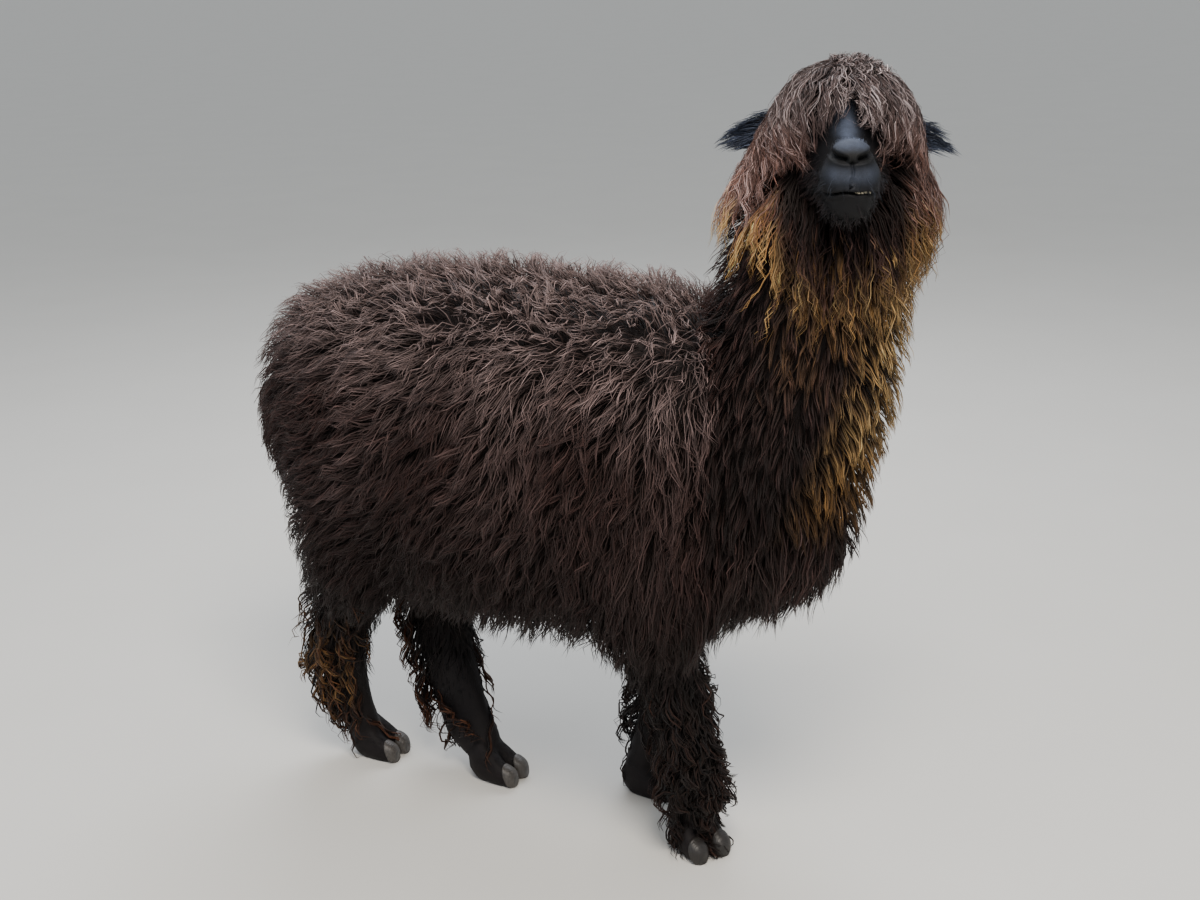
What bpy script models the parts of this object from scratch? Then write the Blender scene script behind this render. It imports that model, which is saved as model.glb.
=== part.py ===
"""A standing alpaca in long fleece, as a life-size still model.

Run with: blender --background --python part.py

The row frame is in metres. The trunk lies along Y with the chest towards -Y, so the animal's right
side is towards -X. The head is turned to the right. Every solid reaches to the tips of the coat.
Soft masses are lofts of super-elliptic sections, fused by a voxel remesh and then parted by thin cuts.
"""

import math
from collections import namedtuple

import bmesh
import bpy
from mathutils import Matrix, Vector

# ---------------------------------------------------------------- driving dimensions
BACK_HEIGHT = 1.035  # floor to the top of the fleece over the loin
BELLY_HEIGHT = 0.36  # floor to the ends of the belly fringe
NECK_LEAN = -0.50  # y of the neck's middle, half way up
HEAD_TURN = math.radians(62.0)  # to the right of straight ahead
HEAD_DROP = math.radians(8.0)  # muzzle below the level
MIDDLE = (0.0, -0.028)  # the box's middle over the floor, which becomes the origin
GAP = 0.0004  # clearance of a thin cut, on each side of its plane

Ring = namedtuple("Ring", "x y z across deep")  # centre, half width and half depth of one section
Leg = namedtuple("Leg", "foot toe_turn spread rings")

# Each foot's place, the turn of its toes to the right, their spread, and its leg's sections from the top.
LEGS = {
    "fore_right": Leg((-0.038, -0.316), math.radians(27), 0.0235, [
        Ring(-0.110, -0.250, 0.500, 0.085, 0.105),
        Ring(-0.085, -0.285, 0.360, 0.070, 0.078),
        Ring(-0.066, -0.306, 0.265, 0.060, 0.064),
        Ring(-0.056, -0.314, 0.190, 0.060, 0.066),
        Ring(-0.048, -0.318, 0.120, 0.060, 0.068),
        Ring(-0.042, -0.314, 0.075, 0.046, 0.050),
        Ring(-0.038, -0.306, 0.045, 0.032, 0.034),
    ]),
    "fore_left": Leg((0.105, -0.140), math.radians(-4), 0.0205, [
        Ring(0.110, -0.210, 0.500, 0.085, 0.105),
        Ring(0.105, -0.190, 0.360, 0.068, 0.076),
        Ring(0.104, -0.172, 0.265, 0.060, 0.062),
        Ring(0.105, -0.155, 0.190, 0.058, 0.062),
        Ring(0.106, -0.143, 0.120, 0.058, 0.062),
        Ring(0.106, -0.134, 0.075, 0.045, 0.048),
        Ring(0.106, -0.128, 0.045, 0.031, 0.033),
    ]),
    "hind_right": Leg((-0.018, 0.420), math.radians(-8), 0.0205, [
        Ring(-0.110, 0.352, 0.520, 0.095, 0.125),
        Ring(-0.092, 0.412, 0.360, 0.079, 0.092),
        Ring(-0.078, 0.456, 0.270, 0.067, 0.079),
        Ring(-0.060, 0.468, 0.200, 0.060, 0.078),
        Ring(-0.045, 0.464, 0.130, 0.052, 0.070),
        Ring(-0.034, 0.454, 0.085, 0.043, 0.054),
        Ring(-0.026, 0.440, 0.050, 0.032, 0.036),
    ]),
    "hind_left": Leg((0.012, 0.152), math.radians(-4), 0.0205, [
        Ring(0.115, 0.320, 0.500, 0.100, 0.140),
        Ring(0.078, 0.322, 0.360, 0.085, 0.100),
        Ring(0.052, 0.302, 0.270, 0.070, 0.088),
        Ring(0.040, 0.276, 0.200, 0.060, 0.086),
        Ring(0.030, 0.252, 0.130, 0.052, 0.088),
        Ring(0.022, 0.230, 0.085, 0.044, 0.086),
        Ring(0.014, 0.200, 0.050, 0.033, 0.056),
    ]),
}
JOINT_HEIGHT = 0.275  # floor to the middle of the knees and hocks
FETLOCK_HEIGHT = 0.088

FACING = Vector((-math.sin(HEAD_TURN), -math.cos(HEAD_TURN), 0.0))
HEAD_LEFT = Vector((0, 0, 1)).cross(FACING)
POLL = Vector((-0.034, -0.565, 1.262))  # middle of the skull between the ears


def head_frame(drop=HEAD_DROP):
    """The head's own frame: +X is its left, -Y is forward along the muzzle and +Z is up."""
    forward = FACING * math.cos(drop) - Vector((0, 0, 1)) * math.sin(drop)
    up = HEAD_LEFT.cross(-forward)
    turn = Matrix((HEAD_LEFT, -forward, up)).transposed().to_4x4()
    return Matrix.Translation(POLL) @ turn


# ---------------------------------------------------------------- making shapes
def new_object(name, mesh_maker, collection=None):
    """An object made by filling a new bmesh."""
    mesh = bpy.data.meshes.new(name)
    shape = bmesh.new()
    mesh_maker(shape)
    bmesh.ops.recalc_face_normals(shape, faces=shape.faces)
    shape.to_mesh(mesh)
    shape.free()
    made = bpy.data.objects.new(name, mesh)
    (collection or BODY).objects.link(made)
    return made


def smooth_between(rings, steps):
    """The rings with Catmull-Rom steps between each pair of them."""
    rows = [list(ring) for ring in rings]
    padded = [rows[0], *rows, rows[-1]]
    out = []
    for i in range(1, len(padded) - 2):
        before, start, end, after = padded[i - 1 : i + 3]
        for step in range(steps):
            t = step / steps
            out.append(
                [
                    0.5 * (2 * b + (c - a) * t + (2 * a - 5 * b + 4 * c - d) * t**2 + (3 * b - a - 3 * c + d) * t**3)
                    for a, b, c, d in zip(before, start, end, after)
                ]
            )
    out.append(rows[-1])
    return [Ring(*row) for row in out]


def loft(name, rings, side=Vector((1, 0, 0)), sides=20, steps=5, power=2.2, place=None):
    """A closed body through super-elliptic sections, whose width runs along side as nearly as it can."""
    rings = smooth_between(rings, steps)
    centres = [Vector(ring[:3]) for ring in rings]

    def fill(shape):
        loops = []
        for i, ring in enumerate(rings):
            ahead = centres[min(i + 1, len(centres) - 1)] - centres[max(i - 1, 0)]
            ahead.normalize()
            across = (side - ahead * side.dot(ahead)).normalized()
            deep = ahead.cross(across)
            loop = []
            for k in range(sides):
                turn = 2 * math.pi * k / sides
                c, s = math.cos(turn), math.sin(turn)
                u = math.copysign(abs(c) ** (2 / power), c) * max(ring.across, 1e-4)
                v = math.copysign(abs(s) ** (2 / power), s) * max(ring.deep, 1e-4)
                loop.append(shape.verts.new(centres[i] + across * u + deep * v))
            loops.append(loop)
        for one, two in zip(loops, loops[1:]):
            for k in range(sides):
                shape.faces.new((one[k], one[(k + 1) % sides], two[(k + 1) % sides], two[k]))
        shape.faces.new(loops[0])
        shape.faces.new(reversed(loops[-1]))

    made = new_object(name, fill)
    if place is not None:
        made.data.transform(place)
    return made


def ellipsoid(name, place, radii):
    """A ball stretched to three radii, in the frame of place."""

    def fill(shape):
        bmesh.ops.create_uvsphere(shape, u_segments=14, v_segments=8, radius=1.0)
        bmesh.ops.scale(shape, vec=radii, verts=shape.verts)
        bmesh.ops.transform(shape, matrix=place, verts=shape.verts)

    return new_object(name, fill)


def block(name, place, size):
    """A cutter: a box of that size, centred on place."""

    def fill(shape):
        bmesh.ops.create_cube(shape, size=1.0)
        bmesh.ops.scale(shape, vec=size, verts=shape.verts)
        bmesh.ops.transform(shape, matrix=place, verts=shape.verts)

    made = new_object(name, fill, CUTTERS)
    made.hide_render = True
    made.display_type = "WIRE"
    return made


def evaluated(obj):
    """A mesh with the object's modifiers applied."""
    bpy.context.view_layer.update()
    graph = bpy.context.evaluated_depsgraph_get()
    return bpy.data.meshes.new_from_object(obj.evaluated_get(graph))


def settle(obj):
    """Applies the object's modifiers."""
    mesh = evaluated(obj)
    obj.modifiers.clear()
    obj.data = mesh
    return obj


def fuse(name, masses, voxel, faces, smoothing=4):
    """One closed skin round several overlapping bodies, with about that many triangles."""
    shape = bmesh.new()
    for mass in masses:
        shape.from_mesh(mass.data)
    mesh = bpy.data.meshes.new(name)
    shape.to_mesh(mesh)
    shape.free()
    made = bpy.data.objects.new(name, mesh)
    BODY.objects.link(made)
    remesh = made.modifiers.new("one skin", "REMESH")
    remesh.mode = "VOXEL"
    remesh.voxel_size = voxel
    blend = made.modifiers.new("blend the joins", "SMOOTH")
    blend.iterations = smoothing
    blend.factor = 0.5
    settle(made)
    thin = made.modifiers.new("fewer faces", "DECIMATE")
    thin.ratio = min(1.0, faces / (2.0 * len(made.data.polygons)))
    return settle(made)


def boolean(obj, cutter, operation):
    """Joins, cuts or crosses obj with another closed mesh."""
    step = obj.modifiers.new(operation.lower(), "BOOLEAN")
    step.object = cutter
    step.operation = operation
    step.solver = "EXACT"
    return settle(obj)


def copy_of(obj, name):
    """A separate object with its own copy of the mesh."""
    made = bpy.data.objects.new(name, obj.data.copy())
    BODY.objects.link(made)
    return made


def remove(*objects):
    """Takes helpers out of the file."""
    for obj in objects:
        bpy.data.objects.remove(obj)


def half_space(name, point, direction, offset=0.0, reach=3.0):
    """A cutter that holds everything on the side of a plane that direction points to, from offset on."""
    direction = Vector(direction).normalized()
    turn = direction.to_track_quat("Z", "Y").to_matrix().to_4x4()
    middle = Vector(point) + direction * (offset + reach / 2)
    return block(name, Matrix.Translation(middle) @ turn, (reach, reach, reach))


def part_inside(whole, name, cutters):
    """The share of whole that lies in every one of the cutters."""
    made = copy_of(whole, name)
    for cutter in cutters:
        boolean(made, cutter, "INTERSECT")
    return made


def flatten_feet(obj):
    """Takes off what lies below the floor, which leaves small flats there."""
    floor = half_space("floor cutter", (0, 0, 0), (0, 0, -1))
    boolean(obj, floor, "DIFFERENCE")
    remove(floor)


# ---------------------------------------------------------------- the body's masses
def trunk_mass():
    """Rump to chest: high round loin, deep flanks and a fleece that hangs to one level under the belly."""
    top, low = BACK_HEIGHT, BELLY_HEIGHT
    middle, deep = (top + low) / 2, (top - low) / 2
    rings = [
        Ring(0, 0.612, middle + 0.060, 0.030, 0.040),
        Ring(0, 0.586, middle + 0.050, 0.105, 0.138),
        Ring(0, 0.506, middle + 0.028, 0.170, 0.236),
        Ring(0, 0.372, middle + 0.006, 0.228, 0.307),
        Ring(0, 0.170, middle, 0.262, deep + 0.002),
        Ring(0, -0.050, middle, 0.264, deep + 0.002),
        Ring(0, -0.250, middle + 0.004, 0.246, deep - 0.012),
        Ring(0, -0.395, middle + 0.022, 0.198, 0.274),
        Ring(0, -0.498, middle + 0.054, 0.132, 0.194),
        Ring(0, -0.560, middle + 0.080, 0.048, 0.078),
    ]
    return loft("trunk mass", rings, sides=28, power=2.35)


def neck_mass():
    """A thick upright neck, leaning a little forward, that spreads into the chest."""
    rings = [
        Ring(-0.010, -0.350, 0.640, 0.165, 0.175),
        Ring(-0.010, -0.430, 0.780, 0.168, 0.195),
        Ring(-0.010, NECK_LEAN, 0.930, 0.136, 0.172),
        Ring(-0.014, -0.525, 1.060, 0.125, 0.150),
        Ring(-0.020, -0.540, 1.190, 0.118, 0.128),
        Ring(-0.025, -0.550, 1.270, 0.080, 0.085),
    ]
    return loft("neck mass", rings, power=2.1)


def fleece_masses():
    """The wool over haunches and shoulders, which runs the trunk into its legs."""
    return [
        ellipsoid("haunch right", Matrix.Translation((-0.128, 0.335, 0.560)), (0.110, 0.150, 0.210)),
        ellipsoid("haunch left", Matrix.Translation((0.128, 0.325, 0.560)), (0.110, 0.165, 0.215)),
        ellipsoid("shoulder right", Matrix.Translation((-0.132, -0.275, 0.560)), (0.100, 0.140, 0.195)),
        ellipsoid("shoulder left", Matrix.Translation((0.132, -0.225, 0.560)), (0.100, 0.140, 0.195)),
    ]


def tail_mass():
    """A woolly tail that hangs close against the rump."""
    rings = [
        Ring(0, 0.495, 0.890, 0.030, 0.030),
        Ring(0, 0.562, 0.845, 0.052, 0.042),
        Ring(0, 0.606, 0.760, 0.062, 0.046),
        Ring(0, 0.614, 0.660, 0.062, 0.046),
        Ring(0, 0.598, 0.570, 0.046, 0.036),
        Ring(0, 0.575, 0.505, 0.014, 0.012),
    ]
    return loft("tail mass", rings, sides=12, steps=2)


def leg_mass(name, leg):
    """One leg in its wool: thigh or shoulder, the shank with its locks, down to the fetlock."""
    return loft(name + " mass", leg.rings, sides=16, power=2.0)


# ---------------------------------------------------------------- feet
FOOT_LENGTH = 0.105  # heel to the tips of the nails
TOE_HEEL = 0.42 * FOOT_LENGTH  # behind the foot's middle
TOE_TIP = -0.58 * FOOT_LENGTH  # ahead of it
NAIL_TILT = math.radians(-32)
NAIL_ROOT = (-0.036, 0.024)  # where a nail's cut crosses its toe: y and z


def foot_frame(leg):
    """The foot's own frame on the floor: -Y is where its toes point and +X is its left."""
    return Matrix.Translation((*leg.foot, 0)) @ Matrix.Rotation(-leg.toe_turn, 4, "Z")


def toe_mass(leg, side):
    """One of the two toes: a soft pad with the toe bone's ridge above it, tapering to the nail."""
    x = side * leg.spread
    rings = [
        Ring(x * 0.55, TOE_HEEL, 0.034, 0.017, 0.020),
        Ring(x * 0.75, TOE_HEEL - 0.020, 0.040, 0.022, 0.042),
        Ring(x * 0.95, -0.008, 0.030, 0.0215, 0.034),
        Ring(x * 1.08, TOE_TIP + 0.028, 0.021, 0.0185, 0.0255),
        Ring(x * 1.04, TOE_TIP + 0.008, 0.014, 0.0125, 0.0165),
        Ring(x * 1.02, TOE_TIP, 0.010, 0.0050, 0.0080),
    ]
    return loft("toe mass", rings, sides=14, steps=4, power=2.3, place=foot_frame(leg))


def build_foot(name, leg, leg_loft):
    """The foot below the fetlock, and the two nails that finish its toes."""
    toes = [toe_mass(leg, side) for side in (-1, 1)]
    whole = fuse("whole foot", [leg_loft, *toes], 0.0045, 540, smoothing=3)
    flatten_feet(whole)
    below = half_space("fetlock cutter", (0, 0, FETLOCK_HEIGHT), (0, 0, -1), GAP)
    foot = part_inside(whole, name + "_foot", [below])
    root = foot_frame(leg) @ Matrix.Translation((0, *NAIL_ROOT)) @ Matrix.Rotation(NAIL_TILT, 4, "X")
    for side, word in ((-1, "right"), (1, "left")):
        ahead = Matrix.Translation((side * 0.0315, -0.05 - GAP, -0.015))
        region = block("nail cutter", root @ ahead, (0.0585, 0.10, 0.07))
        part_inside(foot, f"{name}_nail_{word}", [region])
        remove(region)
    ahead = Matrix.Translation((0, -0.05 + GAP, -0.015 + GAP))
    gone = block("nails gone", root @ ahead, (0.13, 0.10, 0.07 + 2 * GAP))
    boolean(foot, gone, "DIFFERENCE")
    remove(whole, below, gone, *toes)
    return foot


# ---------------------------------------------------------------- head
def head_masses():
    """The skull with its topknot, the bare muzzle, and the long hair that hangs from the cheeks."""
    frame = head_frame()
    level = head_frame(drop=0.0)
    muzzle = loft(
        "muzzle mass",
        [
            Ring(0, -0.020, 0.010, 0.072, 0.076),
            Ring(0, -0.085, 0.002, 0.060, 0.068),
            Ring(0, -0.140, -0.003, 0.048, 0.058),
            Ring(0, -0.185, -0.005, 0.047, 0.056),
            Ring(0, -0.212, -0.004, 0.037, 0.045),
            Ring(0, -0.226, -0.002, 0.012, 0.018),
        ],
        place=frame,
        sides=20,
    )
    lips = [
        ellipsoid("lip", frame @ Matrix.Translation((side * 0.024, -0.200, 0.002)), (0.027, 0.030, 0.030))
        for side in (-1, 1)
    ]
    nose = ellipsoid("nose", frame @ Matrix.Translation((0, -0.204, 0.034)), (0.033, 0.026, 0.022))
    chin = ellipsoid("chin", frame @ Matrix.Translation((0, -0.190, -0.036)), (0.030, 0.030, 0.022))
    topknot = ellipsoid("topknot", level @ Matrix.Translation((0.008, -0.005, 0.022)), (0.116, 0.126, 0.108))
    fringe = ellipsoid("fringe", level @ Matrix.Translation((0.004, -0.080, 0.022)), (0.100, 0.072, 0.080))
    beard = loft(
        "beard mass",
        [
            Ring(-0.002, -0.010, 0.030, 0.112, 0.105),
            Ring(-0.006, -0.005, -0.050, 0.148, 0.120),
            Ring(-0.010, 0.000, -0.110, 0.170, 0.130),
            Ring(-0.010, 0.006, -0.160, 0.166, 0.132),
            Ring(-0.008, 0.010, -0.200, 0.142, 0.122),
            Ring(-0.006, 0.012, -0.226, 0.090, 0.085),
        ],
        place=level,
        power=2.1,
    )
    return [muzzle, *lips, nose, chin, topknot, fringe, beard]


def ear(name, side):
    """A short spear-shaped ear, held out sideways under the topknot, with long hair at its tip."""
    rings = [
        Ring(side * 0.060, 0.022, 0.012, 0.018, 0.016),
        Ring(side * 0.095, 0.032, 0.010, 0.027, 0.016),
        Ring(side * 0.130, 0.042, 0.002, 0.024, 0.012),
        Ring(side * 0.160, 0.050, -0.010, 0.012, 0.007),
        Ring(side * 0.178, 0.054, -0.022, 0.003, 0.003),
    ]
    return loft(name, rings, side=Vector((0, 0.3, 1)), sides=12, steps=2, power=2.0, place=head_frame())


EYE = Vector((0.057, -0.075, 0.020))  # the left eye's middle, in the head's frame
EYE_RADIUS = 0.0165


def eye(name, side, grow=0.0):
    """A ball as deep in the head as the real eye, which looks out sideways and forward."""
    middle = Vector((side * EYE.x, EYE.y, EYE.z))
    radius = EYE_RADIUS + grow
    return ellipsoid(name, head_frame() @ Matrix.Translation(middle), (radius, radius, radius))


def eye_opening(side):
    """A cutter for the parting in the hair through which the eye looks out."""
    start = Vector((side * EYE.x, EYE.y, EYE.z))
    gaze = Vector((side * 0.80, -0.60, -0.05)).normalized()
    turn = gaze.to_track_quat("Z", "Y").to_matrix().to_4x4()

    def fill(shape):
        bmesh.ops.create_cone(shape, cap_ends=True, segments=20, radius1=0.0145, radius2=0.019, depth=0.16)
        bmesh.ops.transform(shape, matrix=Matrix.Translation((0, 0, 0.08)), verts=shape.verts)
        bmesh.ops.transform(shape, matrix=head_frame() @ Matrix.Translation(start) @ turn, verts=shape.verts)

    made = new_object("eye opening", fill, CUTTERS)
    made.hide_render = True
    return made


# ---------------------------------------------------------------- assembly
THROAT = (Vector((0, 0, 1.030)), Vector((0, 0, 1)))
NECK_BASE = (Vector((0, -0.480, 0.850)), Vector((0, -0.75, 0.66)).normalized())
LEG_TOP = 0.400  # floor to the cut that parts each leg from the trunk
# The upright plane between the legs of each pair: a point, and the direction of the right leg.
DIVIDERS = {
    "fore": (Vector((0.028, -0.230, 0)), Vector((-1.0, 0.0, 0))),
    "hind": (Vector((-0.017, 0.379, 0)), Vector((-0.45, 0.89, 0))),
}
PAIR_SPAN = {"fore": (-0.395, -0.070), "hind": (0.130, 0.560)}  # from y to y
JAW = (Vector((0, -0.207, -0.057)), (0.13, 0.110, 0.080))  # middle and size of the lower jaw's cut


def clearance(obj, name, width):
    """A copy of obj grown by width, to cut a neighbour with."""
    grown = copy_of(obj, name)
    step = grown.modifiers.new("clearance", "DISPLACE")
    step.strength = width
    step.mid_level = 0.0
    return settle(grown)


def build_head(neck_loft):
    """The head above the throat, its lower jaw, its ears and its eyes."""
    masses = head_masses()
    whole = fuse("whole head", [neck_loft, *masses], 0.0065, 1800, smoothing=3)
    above = half_space("throat cutter", *THROAT, offset=GAP)
    head = part_inside(whole, "head", [above])
    jaw_place = head_frame() @ Matrix.Translation(JAW[0])
    jaw_region = block("jaw cutter", jaw_place, JAW[1])
    jaw_gone = block("jaw gone", jaw_place, [size + 2 * GAP for size in JAW[1]])
    part_inside(head, "lower_jaw", [jaw_region])
    boolean(head, jaw_gone, "DIFFERENCE")
    for side, word in ((1, "left"), (-1, "right")):
        socket = clearance(ear("ear_" + word, side), "ear socket", 2 * GAP)
        opening = eye_opening(side)
        orbit = eye("orbit", side, grow=2 * GAP)
        for cutter in (socket, opening, orbit):
            boolean(head, cutter, "DIFFERENCE")
        eye("eye_" + word, side)
        remove(socket, opening, orbit)
    remove(whole, above, jaw_region, jaw_gone, *masses)


def cut_legs(body, pair):
    """Parts a pair of legs from the body: thighs or upper arms, then the shanks down to the fetlocks."""
    start, end = PAIR_SPAN[pair]
    point, to_right = DIVIDERS[pair]
    for word, direction in (("right", to_right), ("left", -to_right)):
        beside = half_space("divider", point, direction, GAP)
        for share, high, low in (("upper", LEG_TOP, JOINT_HEIGHT), ("lower", JOINT_HEIGHT, FETLOCK_HEIGHT)):
            place = Matrix.Translation((0, (start + end) / 2, (high + low) / 2))
            slab = block("slab", place, (0.7, end - start - 2 * GAP, high - low - 2 * GAP))
            part_inside(body, f"{pair}_{word}_{share}_leg", [slab, beside])
            remove(slab)
        remove(beside)
    gone = block("legs gone", Matrix.Translation((0, (start + end) / 2, LEG_TOP / 2)), (0.7, end - start, LEG_TOP))
    boolean(body, gone, "DIFFERENCE")
    remove(gone)


def build_body():
    """Trunk, neck, tail and legs, fused as one skin and parted by thin cuts."""
    neck, trunk = neck_mass(), trunk_mass()
    legs = {name: leg_mass(name, leg) for name, leg in LEGS.items()}
    fleece = fleece_masses()
    whole = fuse("whole body", [trunk, neck, *fleece, *legs.values()], 0.015, 2700)
    build_head(neck)
    for name, leg in LEGS.items():
        build_foot(name, leg, legs[name])

    below_throat = half_space("below throat", THROAT[0], -THROAT[1], GAP)
    above_base = half_space("above neck base", *NECK_BASE, offset=GAP)
    part_inside(whole, "neck", [below_throat, above_base])
    neck_gone = half_space("neck gone", *NECK_BASE, offset=-GAP)
    body = part_inside(whole, "trunk", [])
    boolean(body, neck_gone, "DIFFERENCE")
    for pair in DIVIDERS:
        cut_legs(body, pair)

    tail = tail_mass()
    rump = clearance(body, "rump clearance", 2 * GAP)
    boolean(tail, rump, "DIFFERENCE")
    tail.name = "tail"
    remove(whole, below_throat, above_base, neck_gone, rump, neck, trunk, *fleece, *legs.values())


def finish_material(name, colour, roughness):
    """A plain surface for one kind of part."""
    material = bpy.data.materials.new(name)
    material.use_nodes = True
    shader = material.node_tree.nodes["Principled BSDF"]
    shader.inputs["Base Color"].default_value = (*colour, 1.0)
    shader.inputs["Roughness"].default_value = roughness
    return material


def dress():
    """Gives every part its material."""
    fleece = finish_material("dark brown fleece", (0.030, 0.018, 0.013), 0.85)
    short_hair = finish_material("black short hair", (0.010, 0.010, 0.012), 0.70)
    horn = finish_material("grey nail horn", (0.120, 0.110, 0.105), 0.45)
    wet = finish_material("dark eye", (0.012, 0.008, 0.006), 0.05)
    for obj in BODY.objects:
        if "nail" in obj.name:
            chosen = horn
        elif obj.name.startswith("eye"):
            chosen = wet
        elif "foot" in obj.name or "ear" in obj.name:
            chosen = short_hair
        else:
            chosen = fleece
        obj.data.materials.clear()
        obj.data.materials.append(chosen)


for old in list(bpy.data.objects):
    bpy.data.objects.remove(old)
BODY = bpy.data.collections.new("Alpaca")
CUTTERS = bpy.data.collections.new("Cutters")
bpy.context.scene.collection.children.link(BODY)
bpy.context.scene.collection.children.link(CUTTERS)
build_body()
dress()
for made in BODY.objects:
    made.data.transform(Matrix.Translation((-MIDDLE[0], -MIDDLE[1], 0)))
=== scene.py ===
"""A life-size standing alpaca in long dark fleece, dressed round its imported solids.

One skin is shaped from named masses, each a distance measured from sections along a line. The coat is
solid locks that grow from that skin, follow the lie of the fleece and end at the outline of the solids.
All places are in the row frame, in metres: the chest faces -Y and the animal's right side is towards -X.
"""

import logging
import math
from dataclasses import dataclass, field, replace
from enum import Enum
from functools import partial
from typing import Callable, Sequence

import bmesh
import bpy
import numpy as np
from mathutils import Matrix


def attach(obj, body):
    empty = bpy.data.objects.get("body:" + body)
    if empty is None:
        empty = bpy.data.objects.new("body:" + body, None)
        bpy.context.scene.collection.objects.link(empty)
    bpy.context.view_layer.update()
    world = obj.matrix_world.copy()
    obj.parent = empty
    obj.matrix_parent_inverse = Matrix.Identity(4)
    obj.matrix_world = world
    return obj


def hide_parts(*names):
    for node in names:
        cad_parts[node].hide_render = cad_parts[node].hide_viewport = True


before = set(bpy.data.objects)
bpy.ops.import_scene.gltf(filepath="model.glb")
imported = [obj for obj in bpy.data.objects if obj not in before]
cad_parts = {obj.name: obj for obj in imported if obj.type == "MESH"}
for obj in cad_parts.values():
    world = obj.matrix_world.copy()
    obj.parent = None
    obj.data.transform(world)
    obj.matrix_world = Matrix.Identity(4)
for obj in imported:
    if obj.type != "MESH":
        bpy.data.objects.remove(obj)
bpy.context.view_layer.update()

log = logging.getLogger("alpaca")
Array, Rng = np.ndarray, np.random.Generator
Faces = list[tuple[int, ...]]
Pair, Triple, Rows = tuple[float, float], tuple[float, float, float], tuple[tuple[float, ...], ...]
Rule = Callable[[Array], Array]  # gives something for each point
Mesh, Piece, Material, Tree, Output = (
    bpy.types.Mesh, bpy.types.Object, bpy.types.Material, bpy.types.NodeTree, bpy.types.NodeSocket)
BAKE_MAP = "OFBake"  # the map of skin and coat
BODY = "root"
MIDDLE = np.array([0.0, 0.028, 0.0])  # from the body's drawing to the row frame
UP = np.array([0.0, 0.0, 1.0])
FLOOR_CLEARANCE = 0.0008
HEAD_MIDDLE = np.array([-0.034, -0.565, 1.262]) + MIDDLE  # in the skull, between the ears
HEAD_TURN = 62.0  # degrees that the head looks to the animal's right
MUZZLE_DROP = 8.0  # degrees that the muzzle points below the level
LEAST_RADIUS = 0.004  # of a mass without its coat
SHELL_SIDES = 24
PATCH = 0.003  # the side of one lock's patch on the map
SHADE_SPREAD = 0.18  # how far clumps, and the sides of a lock, differ in brightness


class Slot(Enum):
    """The record's material slots."""

    FLEECE = "fleece"
    SHORT_HAIR = "short_hair"
    NAIL = "nail"
    EYE = "eye"


# ---- small mathematics
def unit(vectors: Array) -> Array:
    """Gives each vector the length one.

    Args:
        vectors: Rows of vectors.

    Returns:
        The same directions, each of length one.
    """
    return vectors / np.maximum(np.linalg.norm(vectors, axis=-1, keepdims=True), 1e-9)


def ease(values: Array, start: float, end: float) -> Array:
    """Goes smoothly from 0 at start to 1 at end, which may be the lower of the two."""
    share = np.clip((values - start) / (end - start), 0.0, 1.0)
    return share * share * (3.0 - 2.0 * share)


def bell(distance: Array, width: float) -> Array:
    """The bell curve of a distance: one at nought, and a third at the width."""
    return np.exp(-((distance / width) ** 2))


def full_turn(count: int) -> Array:
    """Evenly spaced angles round a full turn."""
    return np.linspace(0, 2 * math.pi, count, endpoint=False)


def signed_power(values: Array, power: float) -> Array:
    """The size of each value raised to a power, with the value's own sign."""
    return np.sign(values) * np.abs(values) ** power


def vectors(x: float | Array, y: float | Array, z: float | Array) -> Array:
    """Rows of vectors from their three parts, each a number for all or one for each row."""
    return np.stack(np.broadcast_arrays(x, y, z), -1).astype(float)


def linear(hex_colour: str) -> Array:
    """Turns an sRGB hex colour to linear light.

    Args:
        hex_colour: Six hex digits after a hash sign.

    Returns:
        Red, green and blue.
    """
    srgb = np.array([int(hex_colour[i : i + 2], 16) for i in (1, 3, 5)]) / 255.0
    return np.where(srgb <= 0.04045, srgb / 12.92, ((srgb + 0.055) / 1.055) ** 2.4)


def opaque(hex_colour: str) -> tuple[float, ...]:
    """An sRGB hex colour in linear light, with full cover."""
    return (*linear(hex_colour), 1.0)


def catmull_rom(rows: Array, steps: int) -> Array:
    """Draws a smooth line through rows of numbers: the cubic whose slope at each row is half the step
    from the row before it to the row after it.

    Args:
        rows: The numbers to pass through, one row for each place.
        steps: New rows for each gap.

    Returns:
        The denser rows.
    """
    padded = np.vstack([rows[:1], rows, rows[-1:]])
    before, start, end, after = padded[:-3], padded[1:-2], padded[2:-1], padded[3:]
    t = (np.arange(steps) / steps)[None, :, None]
    b, s, e, a = (x[:, None, :] for x in (before, start, end, after))
    square, cube = 2 * b - 5 * s + 4 * e - a, 3 * s - b - 3 * e + a
    curve = 0.5 * (2 * s + (e - b) * t + square * t**2 + cube * t**3)
    return np.vstack([curve.reshape(-1, rows.shape[1]), rows[-1:]])


@dataclass(frozen=True)
class Placement:
    """A frame of its own for some masses."""

    origin: Array
    axes: Array  # columns: where its X, Y and Z point

    def into(self, points: Array) -> Array:
        """Row-frame points as this frame's numbers."""
        return (points - self.origin) @ self.axes

    def out(self, points: Array) -> Array:
        """This frame's numbers as row-frame points."""
        return points @ self.axes.T + self.origin

    def turned(self, vectors: Array) -> Array:
        """This frame's directions as row-frame directions."""
        return vectors @ self.axes.T


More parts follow.
